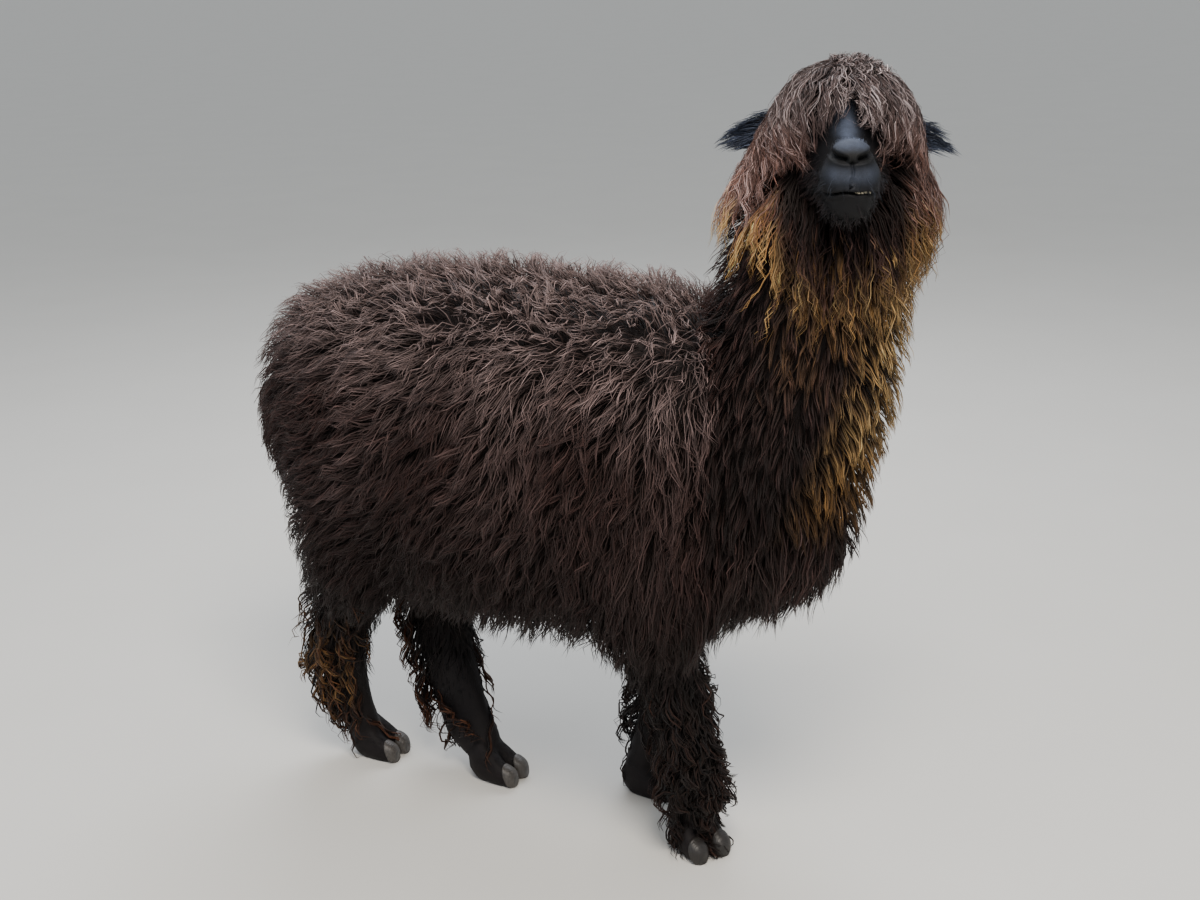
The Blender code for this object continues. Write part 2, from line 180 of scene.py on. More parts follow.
def head_placement(drop_degrees: float) -> Placement:
    """The head's frame: +X is its left, -Y is where the muzzle points and +Z is up.

    Args:
        drop_degrees: How far the muzzle points below the level.

    Returns:
        The frame, with its origin in the skull between the ears.
    """
    turn, drop = math.radians(HEAD_TURN), math.radians(drop_degrees)
    facing = np.array([-math.sin(turn), -math.cos(turn), 0.0])
    left = np.cross(UP, facing)
    forward = facing * math.cos(drop) - UP * math.sin(drop)
    return Placement(HEAD_MIDDLE, np.column_stack([left, -forward, np.cross(left, -forward)]))


TRUE = Placement(MIDDLE, np.eye(3))
HEAD = head_placement(MUZZLE_DROP)
LEVEL = head_placement(0.0)  # turned with the head, but level: the fleece of the head hangs plumb


# ---- masses
@dataclass(frozen=True)
class Tube:
    """A mass of super-elliptic sections along one coordinate that only rises or only falls."""

    name: str
    rings: Rows  # x, y, z, half width, half depth
    axis: int = 2
    power: float = 2.1
    place: Placement = TRUE

    def table(self) -> Array:
        """Dense sections in rising order of the axis coordinate."""
        rows = catmull_rom(np.array(self.rings), 8)
        return rows[np.argsort(rows[:, self.axis])]

    def distance(self, points: Array) -> Array:
        """How far points lie outside the mass: the distance to the section's middle less the section's
        radius in the point's direction, and past an end the way to the end is added.

        Args:
            points: Row-frame points.

        Returns:
            Distances, negative inside.
        """
        rows = self.table()
        local = self.place.into(points)
        others = [i for i in range(3) if i != self.axis]
        w = local[:, self.axis]
        kept = np.clip(w, rows[0, self.axis], rows[-1, self.axis])
        at = [np.interp(kept, rows[:, self.axis], rows[:, column]) for column in (*others, 3, 4)]
        across, deep = local[:, others[0]] - at[0], local[:, others[1]] - at[1]
        powers = np.abs(across / at[2]) ** self.power + np.abs(deep / at[3]) ** self.power
        share = powers ** (1 / self.power)
        away = np.hypot(across, deep)
        radius = np.where(share > 1e-3, away / np.maximum(share, 1e-3), np.minimum(at[2], at[3]))
        side = (share - 1.0) * radius
        beyond = np.abs(w - kept)
        return np.where(beyond > 0, np.hypot(np.maximum(side, 0), beyond), side)

    def shrunk(self, coat: float, ends: float = 0.0) -> "Tube":
        """The same mass without its coat.

        Args:
            coat: The coat's depth.
            ends: How far both ends draw in.

        Returns:
            The smaller mass.
        """
        rows = np.array(self.rings)
        w = rows[:, self.axis]
        middle, half = (w.max() + w.min()) / 2, (w.max() - w.min()) / 2
        rows[:, self.axis] = middle + (w - middle) * (half - ends) / half
        rows[:, 3:] = np.maximum(rows[:, 3:] - coat, LEAST_RADIUS)
        return replace(self, rings=tuple(map(tuple, rows)))

    def shell(self) -> tuple[Array, Faces]:
        """A closed loft: each section carries a super-ellipse, cosine and sine raised to 2 / power.

        Returns:
            Row-frame points and faces.
        """
        rows = self.table()
        turn = full_turn(SHELL_SIDES)
        points = np.repeat(rows[:, None, :3], len(turn), 1)
        others = [i for i in range(3) if i != self.axis]
        points[..., others[0]] += signed_power(np.cos(turn), 2 / self.power) * rows[:, 3:4]
        points[..., others[1]] += signed_power(np.sin(turn), 2 / self.power) * rows[:, 4:5]
        return self.place.out(points.reshape(-1, 3)), wrapped_faces(len(rows), len(turn))


@dataclass(frozen=True)
class Ball:
    """A mass in the shape of a ball with three radii."""

    name: str
    middle: Triple
    radii: Triple
    place: Placement = TRUE

    def distance(self, points: Array) -> Array:
        """How far points lie outside: the share of the radius in the point's direction, less one, times
        that radius.

        Args:
            points: Row-frame points.

        Returns:
            Distances, negative inside.
        """
        local = self.place.into(points) - np.array(self.middle)
        share = np.linalg.norm(local / np.array(self.radii), axis=1)
        away = np.linalg.norm(local, axis=1)
        return (share - 1.0) * np.where(share > 1e-3, away / np.maximum(share, 1e-3), min(self.radii))

    def shrunk(self, coat: float) -> "Ball":
        """The same mass without its coat."""
        return replace(self, radii=tuple(max(r - coat, LEAST_RADIUS) for r in self.radii))

    def shell(self) -> tuple[Array, Faces]:
        """A closed grid over longitude and latitude, scaled by the radii.

        Returns:
            Row-frame points and faces.
        """
        high = np.linspace(-math.pi / 2 * 0.96, math.pi / 2 * 0.96, 14)
        points = globe(high, full_turn(SHELL_SIDES))
        return self.place.out(points * self.radii + self.middle), wrapped_faces(len(high), SHELL_SIDES)


Mass = Tube | Ball


def globe(high: Array, turn: Array) -> Array:
    """A ball of radius one: the cosine and sine of the longitude, shrunk by the cosine of the latitude.

    Args:
        high: Latitudes.
        turn: Longitudes.

    Returns:
        Points, latitude by latitude.
    """
    b, a = np.meshgrid(high, turn, indexing="ij")
    return np.stack([np.cos(b) * np.cos(a), np.cos(b) * np.sin(a), np.sin(b)], -1).reshape(-1, 3)


def wrapped_faces(rows: int, sides: int, ring: bool = False) -> Faces:
    """Faces of a grid whose rows close on themselves.

    Args:
        rows: Rows along the shape.
        sides: Points in each row.
        ring: Whether the last row joins the first; if not, a face closes each end.

    Returns:
        Faces as tuples of point numbers.
    """
    starts = np.arange(rows if ring else rows - 1)
    i, j = (x.ravel() for x in np.meshgrid(starts, np.arange(sides), indexing="ij"))
    after, k = (i + 1) % rows, (j + 1) % sides
    corners = np.stack([i * sides + j, i * sides + k, after * sides + k, after * sides + j], 1)
    faces = [tuple(face) for face in corners.tolist()]
    if not ring:
        faces += [tuple(range(sides))[::-1], tuple(range((rows - 1) * sides, rows * sides))]
    return faces


@dataclass
class Union:
    """Several masses as one, softly joined."""

    masses: list[Mass]
    softness: float = 0.010

    def each(self, points: Array) -> Array:
        """Distances to every mass, one column each."""
        return np.stack([mass.distance(points) for mass in self.masses], 1)

    def distance(self, points: Array) -> Array:
        """The soft least distance: minus the log of the sum of exponentials of the negative distances.

        Args:
            points: Row-frame points.

        Returns:
            Distances, negative inside.
        """
        shares = -self.each(points) / self.softness
        top = shares.max(1)
        return -self.softness * (top + np.log(np.exp(shares - top[:, None]).sum(1)))

    def sense(self, points: Array) -> tuple[Array, Array]:
        """True distances and outward directions, from differences over a millimetre.

        Args:
            points: Row-frame points.

        Returns:
            The distance divided by its own slope, and the slope's direction.
        """
        step = 0.001
        here = self.distance(points)
        slope = np.stack([self.distance(points + step * axis) - here for axis in np.eye(3)], 1) / step
        size = np.clip(np.linalg.norm(slope, axis=1), 0.4, 2.5)
        return here / size, unit(slope)

    def nearest(self, points: Array) -> Array:
        """The number of each point's nearest mass."""
        return self.each(points).argmin(1)


# ---- the animal's build
@dataclass(frozen=True)
class Leg:
    """One leg: where its foot stands, how its toes turn to the right and spread, and its sections.

    The depth of its wool is given at each section, and how much longer the wool is behind.
    """

    name: str
    foot: Pair
    toe_turn: float
    spread: float
    rings: Rows
    rear_wool: tuple[float, ...] = (0, 0, 0, 0, 0, 0, 0)
    coat: tuple[float, ...] = (0.030, 0.030, 0.027, 0.027, 0.024, 0.011, 0.003)

    def foot_place(self) -> Placement:
        """The foot's frame on the floor: -Y is where its toes point and +X is its left.

        Returns:
            The frame, with its origin on the floor.
        """
        turn = -math.radians(self.toe_turn)
        c, s = math.cos(turn), math.sin(turn)
        axes = np.array([[c, -s, 0], [s, c, 0], [0, 0, 1.0]])
        return Placement(np.array([*self.foot, 0.0]) + MIDDLE, axes)

    def toe(self, side: int) -> Tube:
        """The soft pad of one toe, with the bone's ridge above it.

        Args:
            side: 1 for the left toe, -1 for the right one.

        Returns:
            The mass.
        """
        x, heel, tip = side * self.spread, 0.0441, -0.0609
        return Tube(f"{self.name}_toe", (
            (x * 0.55, heel, 0.034, 0.017, 0.020),
            (x * 0.75, heel - 0.020, 0.040, 0.022, 0.042),
            (x * 0.95, -0.008, 0.030, 0.0215, 0.034),
            (x * 1.08, tip + 0.028, 0.021, 0.0192, 0.0240),
            (x * 1.05, tip + 0.009, 0.0165, 0.0168, 0.0185),
            (x * 1.03, tip + 0.001, 0.0125, 0.0095, 0.0115),
            (x * 1.02, tip, 0.012, 0.0050, 0.0070),
        ), axis=1, power=2.3, place=self.foot_place())

    def wool(self) -> Tube:
        """The leg out to the tips of its wool."""
        return Tube(self.name, self.rings, power=2.0)

    def shank(self) -> Tube:
        """The leg's skin, which lies near the front of the wool.

        Returns:
            The mass.
        """
        rows, coat, rear = (np.array(numbers) for numbers in (self.rings, self.coat, self.rear_wool))
        rows[:, 1] -= coat * 0.45 + rear
        rows[:, 3] -= coat
        rows[:, 4] -= coat + rear
        return replace(self.wool(), rings=tuple(map(tuple, rows)))


LEGS = (
    Leg("fore_right", (-0.038, -0.316), 27, 0.0235, (
        (-0.110, -0.250, 0.500, 0.085, 0.105), (-0.085, -0.285, 0.360, 0.070, 0.078),
        (-0.066, -0.306, 0.265, 0.060, 0.064), (-0.056, -0.314, 0.190, 0.060, 0.066),
        (-0.048, -0.318, 0.120, 0.060, 0.068), (-0.042, -0.314, 0.075, 0.046, 0.050),
        (-0.038, -0.306, 0.045, 0.032, 0.034))),
    Leg("fore_left", (0.105, -0.140), -4, 0.0205, (
        (0.110, -0.210, 0.500, 0.085, 0.105), (0.105, -0.190, 0.360, 0.068, 0.076),
        (0.104, -0.172, 0.265, 0.060, 0.062), (0.105, -0.155, 0.190, 0.058, 0.062),
        (0.106, -0.143, 0.120, 0.058, 0.062), (0.106, -0.134, 0.075, 0.045, 0.048),
        (0.106, -0.128, 0.045, 0.031, 0.033))),
    Leg("hind_right", (-0.018, 0.420), -8, 0.0205, (
        (-0.110, 0.352, 0.520, 0.095, 0.125), (-0.092, 0.412, 0.360, 0.079, 0.092),
        (-0.078, 0.456, 0.270, 0.067, 0.079), (-0.060, 0.468, 0.200, 0.060, 0.078),
        (-0.045, 0.464, 0.130, 0.052, 0.070), (-0.034, 0.454, 0.085, 0.043, 0.054),
        (-0.026, 0.440, 0.050, 0.032, 0.036))),
    Leg("hind_left", (0.012, 0.152), -4, 0.0205, (
        (0.115, 0.320, 0.500, 0.100, 0.140), (0.078, 0.322, 0.360, 0.085, 0.100),
        (0.052, 0.302, 0.270, 0.070, 0.088), (0.040, 0.276, 0.200, 0.060, 0.086),
        (0.030, 0.252, 0.130, 0.052, 0.088), (0.022, 0.230, 0.085, 0.044, 0.086),
        (0.014, 0.200, 0.050, 0.033, 0.056)), rear_wool=(0, 0, 0, 0, 0.006, 0.016, 0.014)),
)


@dataclass
class Build:
    """The animal's masses: out to the tips of the coat, and down to the skin. Topknot, fringe and beard
    belong to the coat alone, and skull, crown, jowls, brows and throat to the skin alone."""

    trunk: Tube = Tube("trunk", (
        (0, 0.612, 0.7575, 0.030, 0.040), (0, 0.586, 0.7475, 0.105, 0.138),
        (0, 0.506, 0.7255, 0.170, 0.236), (0, 0.372, 0.7035, 0.228, 0.307),
        (0, 0.170, 0.6975, 0.262, 0.3395), (0, -0.050, 0.6975, 0.264, 0.3395),
        (0, -0.250, 0.7015, 0.246, 0.3255), (0, -0.395, 0.7195, 0.198, 0.274),
        (0, -0.498, 0.7515, 0.132, 0.194), (0, -0.560, 0.7775, 0.048, 0.078)), axis=1, power=2.35)
    neck: Tube = Tube("neck", (
        (-0.010, -0.385, 0.640, 0.165, 0.200), (-0.010, -0.438, 0.780, 0.170, 0.203),
        (-0.010, -0.494, 0.930, 0.147, 0.178), (-0.014, -0.516, 1.060, 0.138, 0.162),
        (-0.020, -0.534, 1.190, 0.126, 0.136), (-0.025, -0.550, 1.270, 0.080, 0.085)))
    breast: Ball = Ball("neck", (-0.010, -0.402, 0.700), (0.160, 0.212, 0.232))
    tail: Tube = Tube("tail", (
        (0, 0.495, 0.890, 0.030, 0.030), (0, 0.562, 0.845, 0.052, 0.042), (0, 0.606, 0.760, 0.062, 0.046),
        (0, 0.614, 0.660, 0.062, 0.046), (0, 0.598, 0.570, 0.046, 0.036), (0, 0.575, 0.505, 0.014, 0.012)))
    haunches: tuple[Ball, ...] = (
        Ball("haunch", (-0.128, 0.335, 0.560), (0.110, 0.150, 0.210)),
        Ball("haunch", (0.128, 0.325, 0.560), (0.110, 0.165, 0.215)),
        Ball("shoulder", (-0.132, -0.275, 0.560), (0.100, 0.140, 0.195)),
        Ball("shoulder", (0.132, -0.225, 0.560), (0.100, 0.140, 0.195)))
    muzzle: Tube = Tube("muzzle", (
        (0, -0.020, 0.010, 0.072, 0.076), (0, -0.085, 0.002, 0.058, 0.068),
        (0, -0.140, -0.003, 0.045, 0.058), (0, -0.185, -0.003, 0.0415, 0.059),
        (0, -0.210, -0.003, 0.034, 0.050), (0, -0.226, -0.002, 0.012, 0.018)),
        axis=1, power=2.2, place=HEAD)
    lips: tuple[Ball, ...] = (
        Ball("lip", (-0.0168, -0.199, 0.003), (0.0255, 0.0275, 0.029), HEAD),
        Ball("lip", (0.0168, -0.199, 0.003), (0.0255, 0.0275, 0.029), HEAD),
        Ball("nose", (0, -0.1975, 0.0325), (0.0335, 0.0265, 0.0225), HEAD),
        Ball("chin", (0, -0.191, -0.036), (0.030, 0.029, 0.022), HEAD))
    topknot: Ball = Ball("topknot", (0.008, -0.005, 0.022), (0.116, 0.126, 0.108), LEVEL)
    fringe: Ball = Ball("fringe", (0.004, -0.080, 0.022), (0.100, 0.072, 0.080), LEVEL)
    beard: Tube = Tube("beard", (
        (-0.002, -0.010, 0.030, 0.112, 0.105), (-0.006, -0.005, -0.050, 0.148, 0.120),
        (-0.010, 0.000, -0.110, 0.170, 0.130), (-0.010, 0.006, -0.160, 0.166, 0.132),
        (-0.008, 0.010, -0.200, 0.142, 0.122), (-0.006, 0.012, -0.226, 0.090, 0.085)), place=LEVEL)
    skull: Ball = Ball("skull", (0, -0.004, 0.004), (0.064, 0.080, 0.062), LEVEL)
    crown: Ball = Ball("crown", (0.006, 0.006, 0.030), (0.084, 0.088, 0.083), LEVEL)
    jowls: tuple[Ball, ...] = (
        Ball("jowl", (-0.030, -0.060, -0.026), (0.034, 0.062, 0.036), HEAD),
        Ball("jowl", (0.030, -0.060, -0.026), (0.034, 0.062, 0.036), HEAD))
    brows: tuple[Ball, ...] = (
        Ball("brow", (-0.046, -0.070, 0.024), (0.020, 0.027, 0.023), HEAD),
        Ball("brow", (0.046, -0.070, 0.024), (0.020, 0.027, 0.023), HEAD))
    throat: Tube = Tube("throat", (
        (0, -0.010, 0.020, 0.052, 0.058), (0, 0.000, -0.060, 0.060, 0.060),
        (-0.002, 0.012, -0.130, 0.084, 0.088), (-0.004, 0.022, -0.200, 0.096, 0.108)), place=LEVEL)
    body_coat: float = 0.045
    haunch_coat: float = 0.036
    tail_coat: float = 0.030
    muzzle_coat: float = 0.004
    lip_coat: float = 0.002
    toe_coat: float = 0.0015

    def outline(self) -> Union:
        """Everything out to the tips of the coat.

        Returns:
            The joined masses.
        """
        legs = [leg.wool() for leg in LEGS]
        toes = [leg.toe(side) for leg in LEGS for side in (-1, 1)]
        body = [self.trunk, self.neck, self.breast, self.tail, *self.haunches]
        head = [self.muzzle, *self.lips, self.topknot, self.fringe, self.beard]
        return Union([*body, *legs, *toes, *head], 0.008)

    def skin(self) -> Union:
        """Everything down to the skin.

        Returns:
            The joined masses.
        """
        legs = [leg.shank() for leg in LEGS]
        toes = [leg.toe(side).shrunk(self.toe_coat, 2 * self.toe_coat) for leg in LEGS for side in (-1, 1)]
        face = [self.muzzle.shrunk(self.muzzle_coat), *(ball.shrunk(self.lip_coat) for ball in self.lips)]
        body = [self.trunk.shrunk(self.body_coat, self.body_coat), self.neck.shrunk(self.body_coat),
                self.tail.shrunk(self.tail_coat, self.tail_coat), self.breast.shrunk(self.body_coat)]
        flesh = [ball.shrunk(self.haunch_coat) for ball in self.haunches]
        head = [self.skull, self.crown, *self.jowls, *self.brows, self.throat]
        return Union([*body, *flesh, *legs, *toes, *face, *head], 0.005)


EYE_MIDDLE, EYE_RADIUS = (0.057, -0.075, 0.020), 0.0165  # the left eye's, in the head's frame
NAIL_ROOT, NAIL_LEAN = (-0.042, 0.024), 0.36  # along and above the foot, and how far it leans back
MOUTH_DROP, MOUTH_BEND = 0.0122, 4.5  # the mouth lies this low in the head's frame, and lower by x squared
MOUTH_SWAY, MOUTH_SWAYS = 0.0010, 160  # the mouth's line wavers by a sine of x


# ---- materials
def add_node(tree: Tree, kind: str, settings: dict, links: dict | None = None) -> bpy.types.Node:
    """Adds one node.

    Args:
        tree: The material's nodes.
        kind: The node's Blender type, without the word ShaderNode.
        settings: Attributes by name, and socket values by index or socket name.
        links: Output sockets to join to this node's inputs.

    Returns:
        The node.
    """
    node = tree.nodes.new(f"ShaderNode{kind}")
    for key, value in settings.items():
        if isinstance(key, str) and hasattr(node, key):
            setattr(node, key, value)
        else:
            node.inputs[key].default_value = value
    for key, output in (links or {}).items():
        tree.links.new(output, node.inputs[key])
    return node


@dataclass(frozen=True)
class Finish:
    """What every finish has: a name for the material, its shine and how deep its finest marks are."""

    name: str
    roughness: float
    specular: float = 0.5
    sheen: float = 0.0
    sheen_tint: str = "#ffffff"
    coat: float = 0.0
    bump: float = 0.5
    depth: float = 0.0

    def pattern(self, tree: Tree) -> tuple[Output, Output | None]:
        """Adds the finish's own nodes, and gives its colour and, where it has one, its height."""
        raise NotImplementedError

    def build(self) -> Material:
        """Makes the material: the shader's constants, then the finish's own colour and bump.

        Returns:
            The material.
        """
        material = bpy.data.materials.new(self.name)
        material.use_nodes = True
        tree = material.node_tree
        shader = tree.nodes["Principled BSDF"]
        constants = {"Roughness": self.roughness, "Specular IOR Level": self.specular,
                     "Sheen Weight": self.sheen, "Sheen Roughness": 0.5,
                     "Sheen Tint": opaque(self.sheen_tint),
                     "Coat Weight": self.coat, "Coat Roughness": 0.08}
        for socket, value in constants.items():
            shader.inputs[socket].default_value = value
        colour, height = self.pattern(tree)
        tree.links.new(colour, shader.inputs["Base Color"])
        if height is not None:
            bump = add_node(tree, "Bump", {"Strength": self.bump, "Distance": self.depth},
                            {"Height": height})
            tree.links.new(bump.outputs[0], shader.inputs["Normal"])
        return material


@dataclass(frozen=True)
class FleeceFinish(Finish):
    """Alpaca fleece: hollow, barely scaled hair. To the eye it is dull, with a soft sheen at grazing
    angles, and each lock shows fine streaks along it where bundles of fibres part."""

    depth: float = 0.0006
    streaks: float = 3.0  # bundles of fibres seen across one lock
    contrast: float = 0.35

    def pattern(self, tree: Tree) -> tuple[Output, Output | None]:
        """The lock's own colour, made lighter and darker in streaks along it.

        Args:
            tree: The material's nodes.

        Returns:
            Colour and height.
        """
        colour = add_node(tree, "Attribute", {"attribute_name": "coat_colour"})
        along = add_node(tree, "Attribute", {"attribute_name": "strand"})
        noise = add_node(tree, "TexNoise", {"Scale": self.streaks, "Detail": 2.0},
                         {"Vector": along.outputs["Vector"]})
        light = add_node(tree, "MapRange", {1: 0.3, 2: 0.7, 3: 1 - self.contrast, 4: 1 + self.contrast},
                         {0: noise.outputs["Fac"]})
        tinted = add_node(tree, "VectorMath", {"operation": "SCALE"},
                          {0: colour.outputs["Color"], "Scale": light.outputs[0]})
        return tinted.outputs[0], noise.outputs["Fac"]


@dataclass(frozen=True)
class SkinFinish(Finish):
    """Skin with short flat hair. To the eye it is a matt, finely grained black on face and feet, moist
    and pored at the nose, and in the depth of the fleece it passes for the matted bases of the locks,
    its near black colour there standing also as painted shade between them."""

    bump: float = 0.6
    depth: float = 0.0009
    grain: float = 0.0011  # metres between the short hairs, drawn coarse enough to show
    mottle: float = 0.018  # metres from one lighter patch to the next

    def pattern(self, tree: Tree) -> tuple[Output, Output | None]:
        """The markings, made lighter and darker by fine noise times broad noise.

        Args:
            tree: The material's nodes.

        Returns:
            Colour and height.
        """
        place = add_node(tree, "TexCoord", {}).outputs["Object"]
        colour = add_node(tree, "Attribute", {"attribute_name": "coat_colour"})
        fine, broad = (add_node(tree, "TexNoise", {"Scale": 1 / size, "Detail": 3.0}, {"Vector": place})
                       for size in (self.grain, self.mottle))
        both = add_node(tree, "Math", {"operation": "MULTIPLY"},
                        {0: fine.outputs["Fac"], 1: broad.outputs["Fac"]})
        light = add_node(tree, "MapRange", {1: 0.1, 2: 0.4, 3: 0.6, 4: 1.35}, {0: both.outputs[0]})
        tinted = add_node(tree, "VectorMath", {"operation": "SCALE"},
                          {0: colour.outputs["Color"], "Scale": light.outputs[0]})
        return tinted.outputs[0], fine.outputs["Fac"]


@dataclass(frozen=True)
class NailFinish(Finish):
    """Nail horn: hard keratin grown in rings. To the eye it is a satin dark grey with faint bands across
    it, scuffed paler where it rubs."""

    depth: float = 0.0008
    dark: str = "#201e1d"
    pale: str = "#544f4b"
    ring: float = 0.0042  # metres from one growth ring to the next
    scuff: float = 0.003125  # metres from one scuff to the next

    def pattern(self, tree: Tree) -> tuple[Output, Output | None]:
        """Bands along the nail's own length and scattered scuffs, added up, from dark to pale.

        Args:
            tree: The material's nodes.

        Returns:
            Colour and height.
        """
        length = add_node(tree, "Attribute", {"attribute_name": "strand"})
        rings = add_node(tree, "TexWave",  # the wave's own period is 0.31 of a unit
                         {"Scale": 0.31 / self.ring, "Distortion": 2.2, "Detail": 3.0, "Detail Scale": 2.0},
                         {"Vector": length.outputs["Vector"]})
        place = add_node(tree, "TexCoord", {})
        scuffs = add_node(tree, "TexNoise", {"Scale": 1 / self.scuff, "Detail": 4.0},
                          {"Vector": place.outputs["Object"]})
        both = add_node(tree, "Math", {"operation": "MULTIPLY_ADD", 1: 0.45},
                        {0: rings.outputs["Fac"], 2: scuffs.outputs["Fac"]})
        share = add_node(tree, "MapRange", {1: 0.35, 2: 1.05}, {0: both.outputs[0]})
        mix = add_node(tree, "Mix", {"data_type": "RGBA", 6: opaque(self.dark), 7: opaque(self.pale)},
                       {0: share.outputs[0]})
        return mix.outputs[2], both.outputs[0]


@dataclass(frozen=True)
class EyeFinish(Finish):
    """A living eye: a clear wet film over the iris. To the eye it is a dark brown globe with one sharp
    highlight and a level slit of a pupil."""

    iris: str = "#2a1a10"
    pupil: str = "#030303"

    def pattern(self, tree: Tree) -> tuple[Output, Output | None]:
        """Pupil, then iris: the attribute holds how far a point lies across and above the gaze, in pupils.

        Args:
            tree: The material's nodes.

        Returns:
            Colour, and no height.
        """
        at = add_node(tree, "Attribute", {"attribute_name": "strand"})
        away = add_node(tree, "VectorMath", {"operation": "LENGTH"}, {0: at.outputs["Vector"]})
        share = add_node(tree, "MapRange", {1: 0.85, 2: 1.15}, {0: away.outputs["Value"]})
        mix = add_node(tree, "Mix", {"data_type": "RGBA", 6: opaque(self.pupil), 7: opaque(self.iris)},
                       {0: share.outputs[0]})
        return mix.outputs[2], None


@dataclass(frozen=True)
class MottledFinish(Finish):
    """A smooth surface of two near colours in soft patches: stained enamel gives small worn-looking
    teeth, and matt paint gives a floor that is never quite even."""

    dark: str = "#000000"
    pale: str = "#ffffff"
    mottle: float = 0.004  # metres from one patch to the next

    def pattern(self, tree: Tree) -> tuple[Output, Output | None]:
        """Two near colours mixed by noise.

        Args:
            tree: The material's nodes.

        Returns:
            Colour, and no height.
        """
        place = add_node(tree, "TexCoord", {})
        noise = add_node(tree, "TexNoise", {"Scale": 1 / self.mottle, "Detail": 3.0},
                         {"Vector": place.outputs["Object"]})
        mix = add_node(tree, "Mix", {"data_type": "RGBA", 6: opaque(self.dark), 7: opaque(self.pale)},
                       {0: noise.outputs["Fac"]})
        return mix.outputs[2], None


# ---- meshes
def mesh_object(name: str, points: Array, faces: Faces, material: Material) -> Piece:
    """Makes a smooth-shaded object at the origin.

    Args:
        name: The piece's name.
        points: Row-frame points.
        faces: Tuples of point numbers.
        material: Its finish.

    Returns:
        The linked object.
    """
    mesh = bpy.data.meshes.new(name)
    mesh.from_pydata(points.tolist(), [], faces)
    mesh.shade_smooth()
    mesh.materials.append(material)
    made = bpy.data.objects.new(name, mesh)
    bpy.context.scene.collection.objects.link(made)
    return made


def outward(piece: Piece) -> None:
    """Turns every closed shell's faces outward.

    Args:
        piece: A mesh of one or more closed shells.
    """
    shape = bmesh.new()
    shape.from_mesh(piece.data)
    bmesh.ops.recalc_face_normals(shape, faces=shape.faces)
    shape.to_mesh(piece.data)
    shape.free()


def read_points(mesh: Mesh) -> Array:
    """A mesh's points as rows.

    Args:
        mesh: Any mesh.

    Returns:
        Its points, (point, 3).
    """
    flat = np.empty(len(mesh.vertices) * 3, np.float32)
    mesh.vertices.foreach_get("co", flat)
    return flat.reshape(-1, 3).astype(float)


def write_attribute(mesh: Mesh, name: str, kind: str, values: Array) -> None:
    """Stores one value for each point under a name.

    Args:
        mesh: The piece's mesh.
        name: What the materials call the values.
        kind: Blender's name for the kind of value: a colour or a vector.
        values: One row for each point.
    """
    layer = mesh.attributes.new(name, kind, "POINT")
    field_name = "color" if kind == "FLOAT_COLOR" else "vector"
    layer.data.foreach_set(field_name, values.astype(np.float32).ravel())


def with_alpha(colours: Array) -> Array:
    """Colours with a column of ones."""
    return np.hstack([colours, np.ones((len(colours), 1))])


def hand_over(piece: Piece, slot: Slot | None, *nodes: str) -> None:
    """Lets a piece ride on the body and stand for its nodes, and reports it.

    Args:
        piece: A finished piece.
        slot: Its material slot, if the record has one for it; not used.
        nodes: The solids that it replaces.
    """
    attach(piece, BODY)
    if nodes:
        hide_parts(*nodes)
    log.info("%s: %d faces", piece.name, len(piece.data.polygons))


# ---- markings
@dataclass(frozen=True)
class Shades:
    """The colours of some locks at the root and at the tip, either one for each lock or one for each step
    along it, and how late along the lock the tip's colour comes, as a power of the share of the way."""

    root: Array
    tip: Array
    lateness: Array


def mixed(base: str | Array, other: str | Array, share: Array) -> Array:
    """Two colours, each a hex value or linear rows, mixed by a share for each point, lock or step."""
    first, second = (linear(colour) if isinstance(colour, str) else colour for colour in (base, other))
    return first * (1 - share[..., None]) + second * share[..., None]


